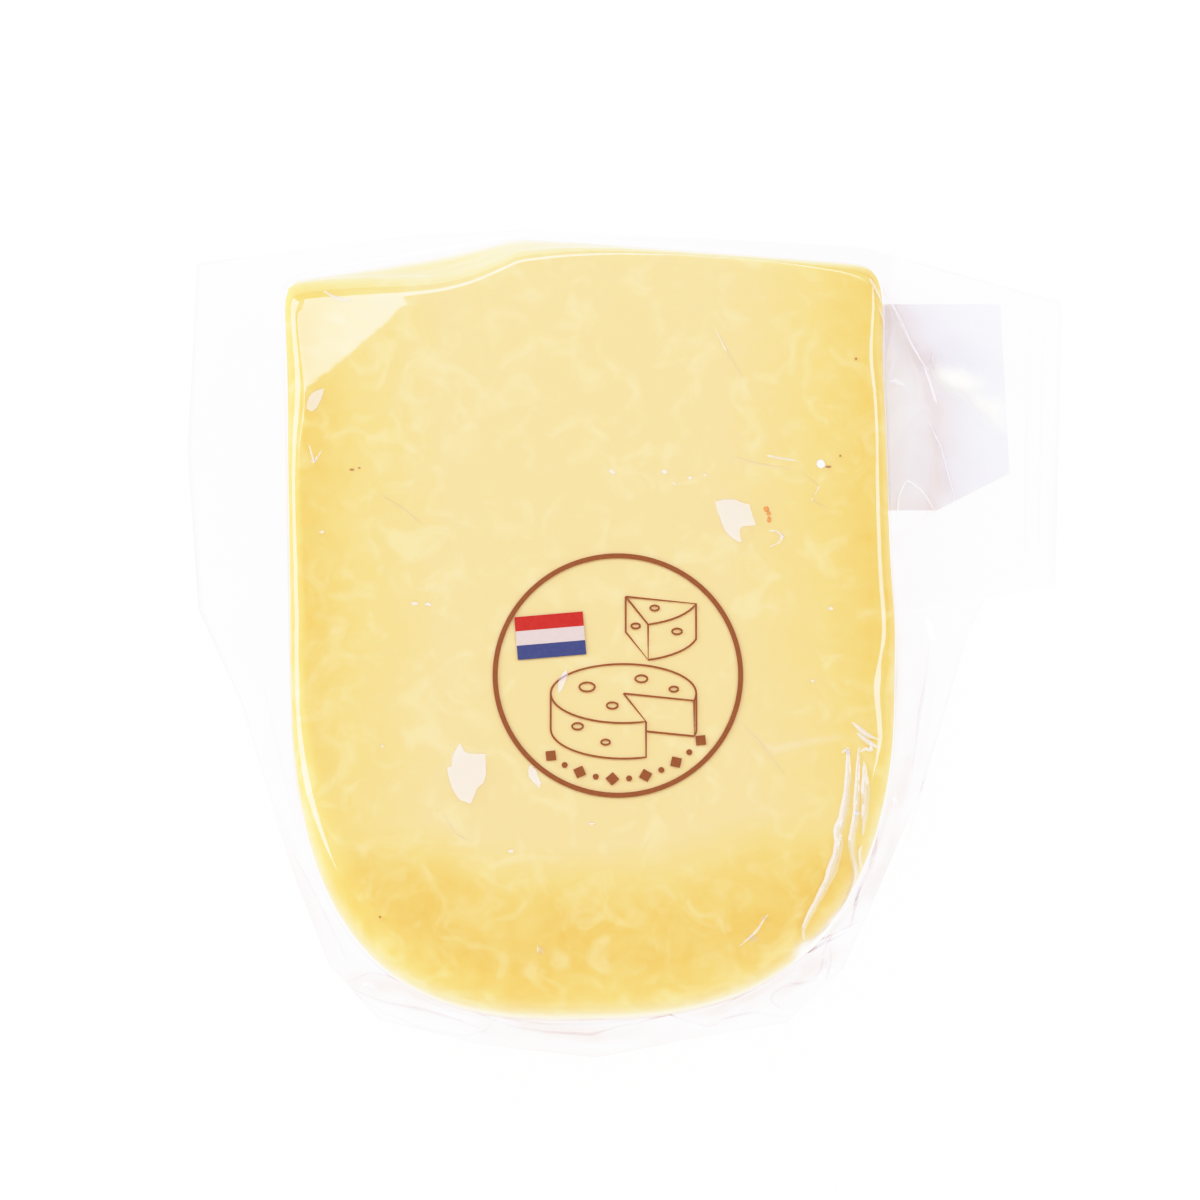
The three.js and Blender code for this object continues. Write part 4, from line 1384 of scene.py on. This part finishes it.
# %% Crumbs under the film
CRUMBS = {  # finish, colour, and X, Y, half the width and half the height of each
    "crumbs_brown": ("dried cheese crumb, brown", "A0702E", [
        (36.5, 32.4, 0.5, 0.2), (38.7, 34.4, 0.2, 0.2), (41.7, 52.0, 0.22, 0.25),
        (-49.3, 31.9, 0.45, 0.2), (-48.0, 32.2, 0.25, 0.15), (-43.6, -47.8, 0.25, 0.2),
    ]),
    "crumbs_orange": ("waxed rind fleck, orange", "E0892A", [
        (25.3, 24.8, 0.5, 0.5), (25.7, 24.0, 0.35, 0.4), (25.8, 22.9, 0.3, 0.55),
    ]),
    "crumb_white": ("milk salt grain, white", "F4F0E6", [(35.2, 32.9, 0.75, 0.85)]),
}
CRUMB_THICKNESS = 0.05  # half of it
CRUMB_UNEVEN, CRUMB_LUMPS = 0.45, 1.7  # how uneven, and how fine, for a ball of radius 1


def crumbs(name, places):
    bm = bmesh.new()
    for i, (x, y, half_x, half_y) in enumerate(places):
        made = bmesh.ops.create_icosphere(bm, subdivisions=2, radius=1.0)["verts"]
        for vert in made:
            lump = noise.noise(vert.co * CRUMB_LUMPS + Vector((i * 3.1, x, y)))
            vert.co *= 1 + CRUMB_UNEVEN * lump
        bmesh.ops.scale(bm, vec=(half_x, half_y, CRUMB_THICKNESS), verts=made)
        bmesh.ops.translate(bm, vec=(x, y, 0), verts=made)
    on_the_face(bm, -CLING / 2)
    return new_piece(name, bm)


specks = []
for name, (finish, colour, places) in CRUMBS.items():
    speck = crumbs(name, places)
    material, tree = new_material(finish)
    surface = add_node(tree, "ShaderNodeBsdfPrincipled", {
        "Base Color": linear(colour), "Roughness": 0.6,
    })
    add_node(tree, "ShaderNodeOutputMaterial", {"Surface": surface.outputs["BSDF"]})
    speck.data.materials.append(material)
    specks.append(speck)

# %% [markdown]
# ## The table
# The pack lies on a sheet of opal acrylic that is lit from below, so that it casts next to no shadow.
# Such a sheet is moulded matt and glows evenly, which makes it a plain white in the picture. It lies
# a little below the pack, so that the two never share a plane.

# %% The table
TABLE_REACH = 4.0  # m
TABLE_DROP = 0.2 * MM
TABLE_GLOW = 1.18

table_bm = bmesh.new()
bmesh.ops.create_grid(table_bm, x_segments=1, y_segments=1, size=TABLE_REACH)
bmesh.ops.translate(table_bm, vec=(0, 0, -TABLE_DROP), verts=table_bm.verts)
table = new_piece("table", table_bm)
table_material, tree = new_material("opal acrylic, lit from below")
surface = add_node(tree, "ShaderNodeBsdfPrincipled", {
    "Base Color": linear("7F7F7F"), "Roughness": 0.9, "Specular IOR Level": 0.0,
    "Emission Color": linear("FFFFFF"), "Emission Strength": TABLE_GLOW,
})
add_node(tree, "ShaderNodeOutputMaterial", {"Surface": surface.outputs["BSDF"]})
table.data.materials.append(table_material)

# %% [markdown]
# ## The studio
# The room is warm white, and most of its light comes from the near wall. Three cooler softboxes stand
# round the pack. One on the left and one on the right draw the bright lines on the long edges, and one
# far behind lights the slumped corner and the air pockets. None of them is where the flat face
# mirrors it, because that would veil the cheese.

# %% The studio
# Azimuth from +X and elevation in degrees, distance, width and height in m, radiance, colour.
SOFTBOXES = {
    "left": (158, 20, 1.0, 0.95, 0.56, 6.0, "D6D1FF"),
    "right": (27, 35, 1.0, 0.45, 0.37, 6.0, "D6D1FF"),
    "far": (102, 47, 1.2, 0.6, 0.42, 5.2, "D6D9FF"),
}
ROOM_COLOUR = "FFFEF0"
ROOM_LIGHT, ROOM_FRONT = 1.195, 0.6  # and how much brighter the near wall is than the ceiling

world = bpy.data.worlds.new("studio")
bpy.context.scene.world = world
world.use_nodes = True
room = world.node_tree
direction = add_node(room, "ShaderNodeTexCoord").outputs["Generated"]
towards = add_node(room, "ShaderNodeSeparateXYZ", {0: direction})
lit = add_node(room, "ShaderNodeMath", {
    0: towards.outputs["Y"], 1: -ROOM_FRONT * ROOM_LIGHT, 2: ROOM_LIGHT,
}, operation="MULTIPLY_ADD")
room.nodes["Background"].inputs["Color"].default_value = linear(ROOM_COLOUR)
room.links.new(lit.outputs[0], room.nodes["Background"].inputs["Strength"])

for name, (azimuth, elevation, distance, width, height, radiance, colour) in SOFTBOXES.items():
    light = bpy.data.lights.new(f"{name} softbox", "AREA")
    light.shape = "RECTANGLE"
    light.size, light.size_y = width, height
    light.color = linear(colour)[:3]
    light.energy = radiance * math.pi * width * height
    azimuth, elevation = math.radians(azimuth), math.radians(elevation)
    level = math.cos(elevation)
    way = Vector((level * math.cos(azimuth), level * math.sin(azimuth), math.sin(elevation)))
    lamp = bpy.data.objects.new(light.name, light)
    lamp.location = way * distance
    lamp.rotation_euler = way.to_track_quat("Z", "Y").to_euler()
    lamp.visible_camera = False
    bpy.context.scene.collection.objects.link(lamp)
print(len(SOFTBOXES), "softboxes")

# %% [markdown]
# ## What moves with what
# Nothing in the pack moves, so every piece rides on its one body. The film stands for the solid pack,
# and the thin sticker for the plate that holds its place.

# %% Riding and replacing
SLOTS = {
    "cheese": [cheese, *specks],
    "clear_film": [film, *creases, pockets],
    "label_paper": [label],
    "print_ink": [ring, flag, figure, marks_piece],
}
for slot, pieces in SLOTS.items():
    for piece in pieces:
        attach(piece, "root")
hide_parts("sealed_bag")
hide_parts("back_label")
print(sum(len(pieces) for pieces in SLOTS.values()), "pieces in", len(SLOTS), "slots")
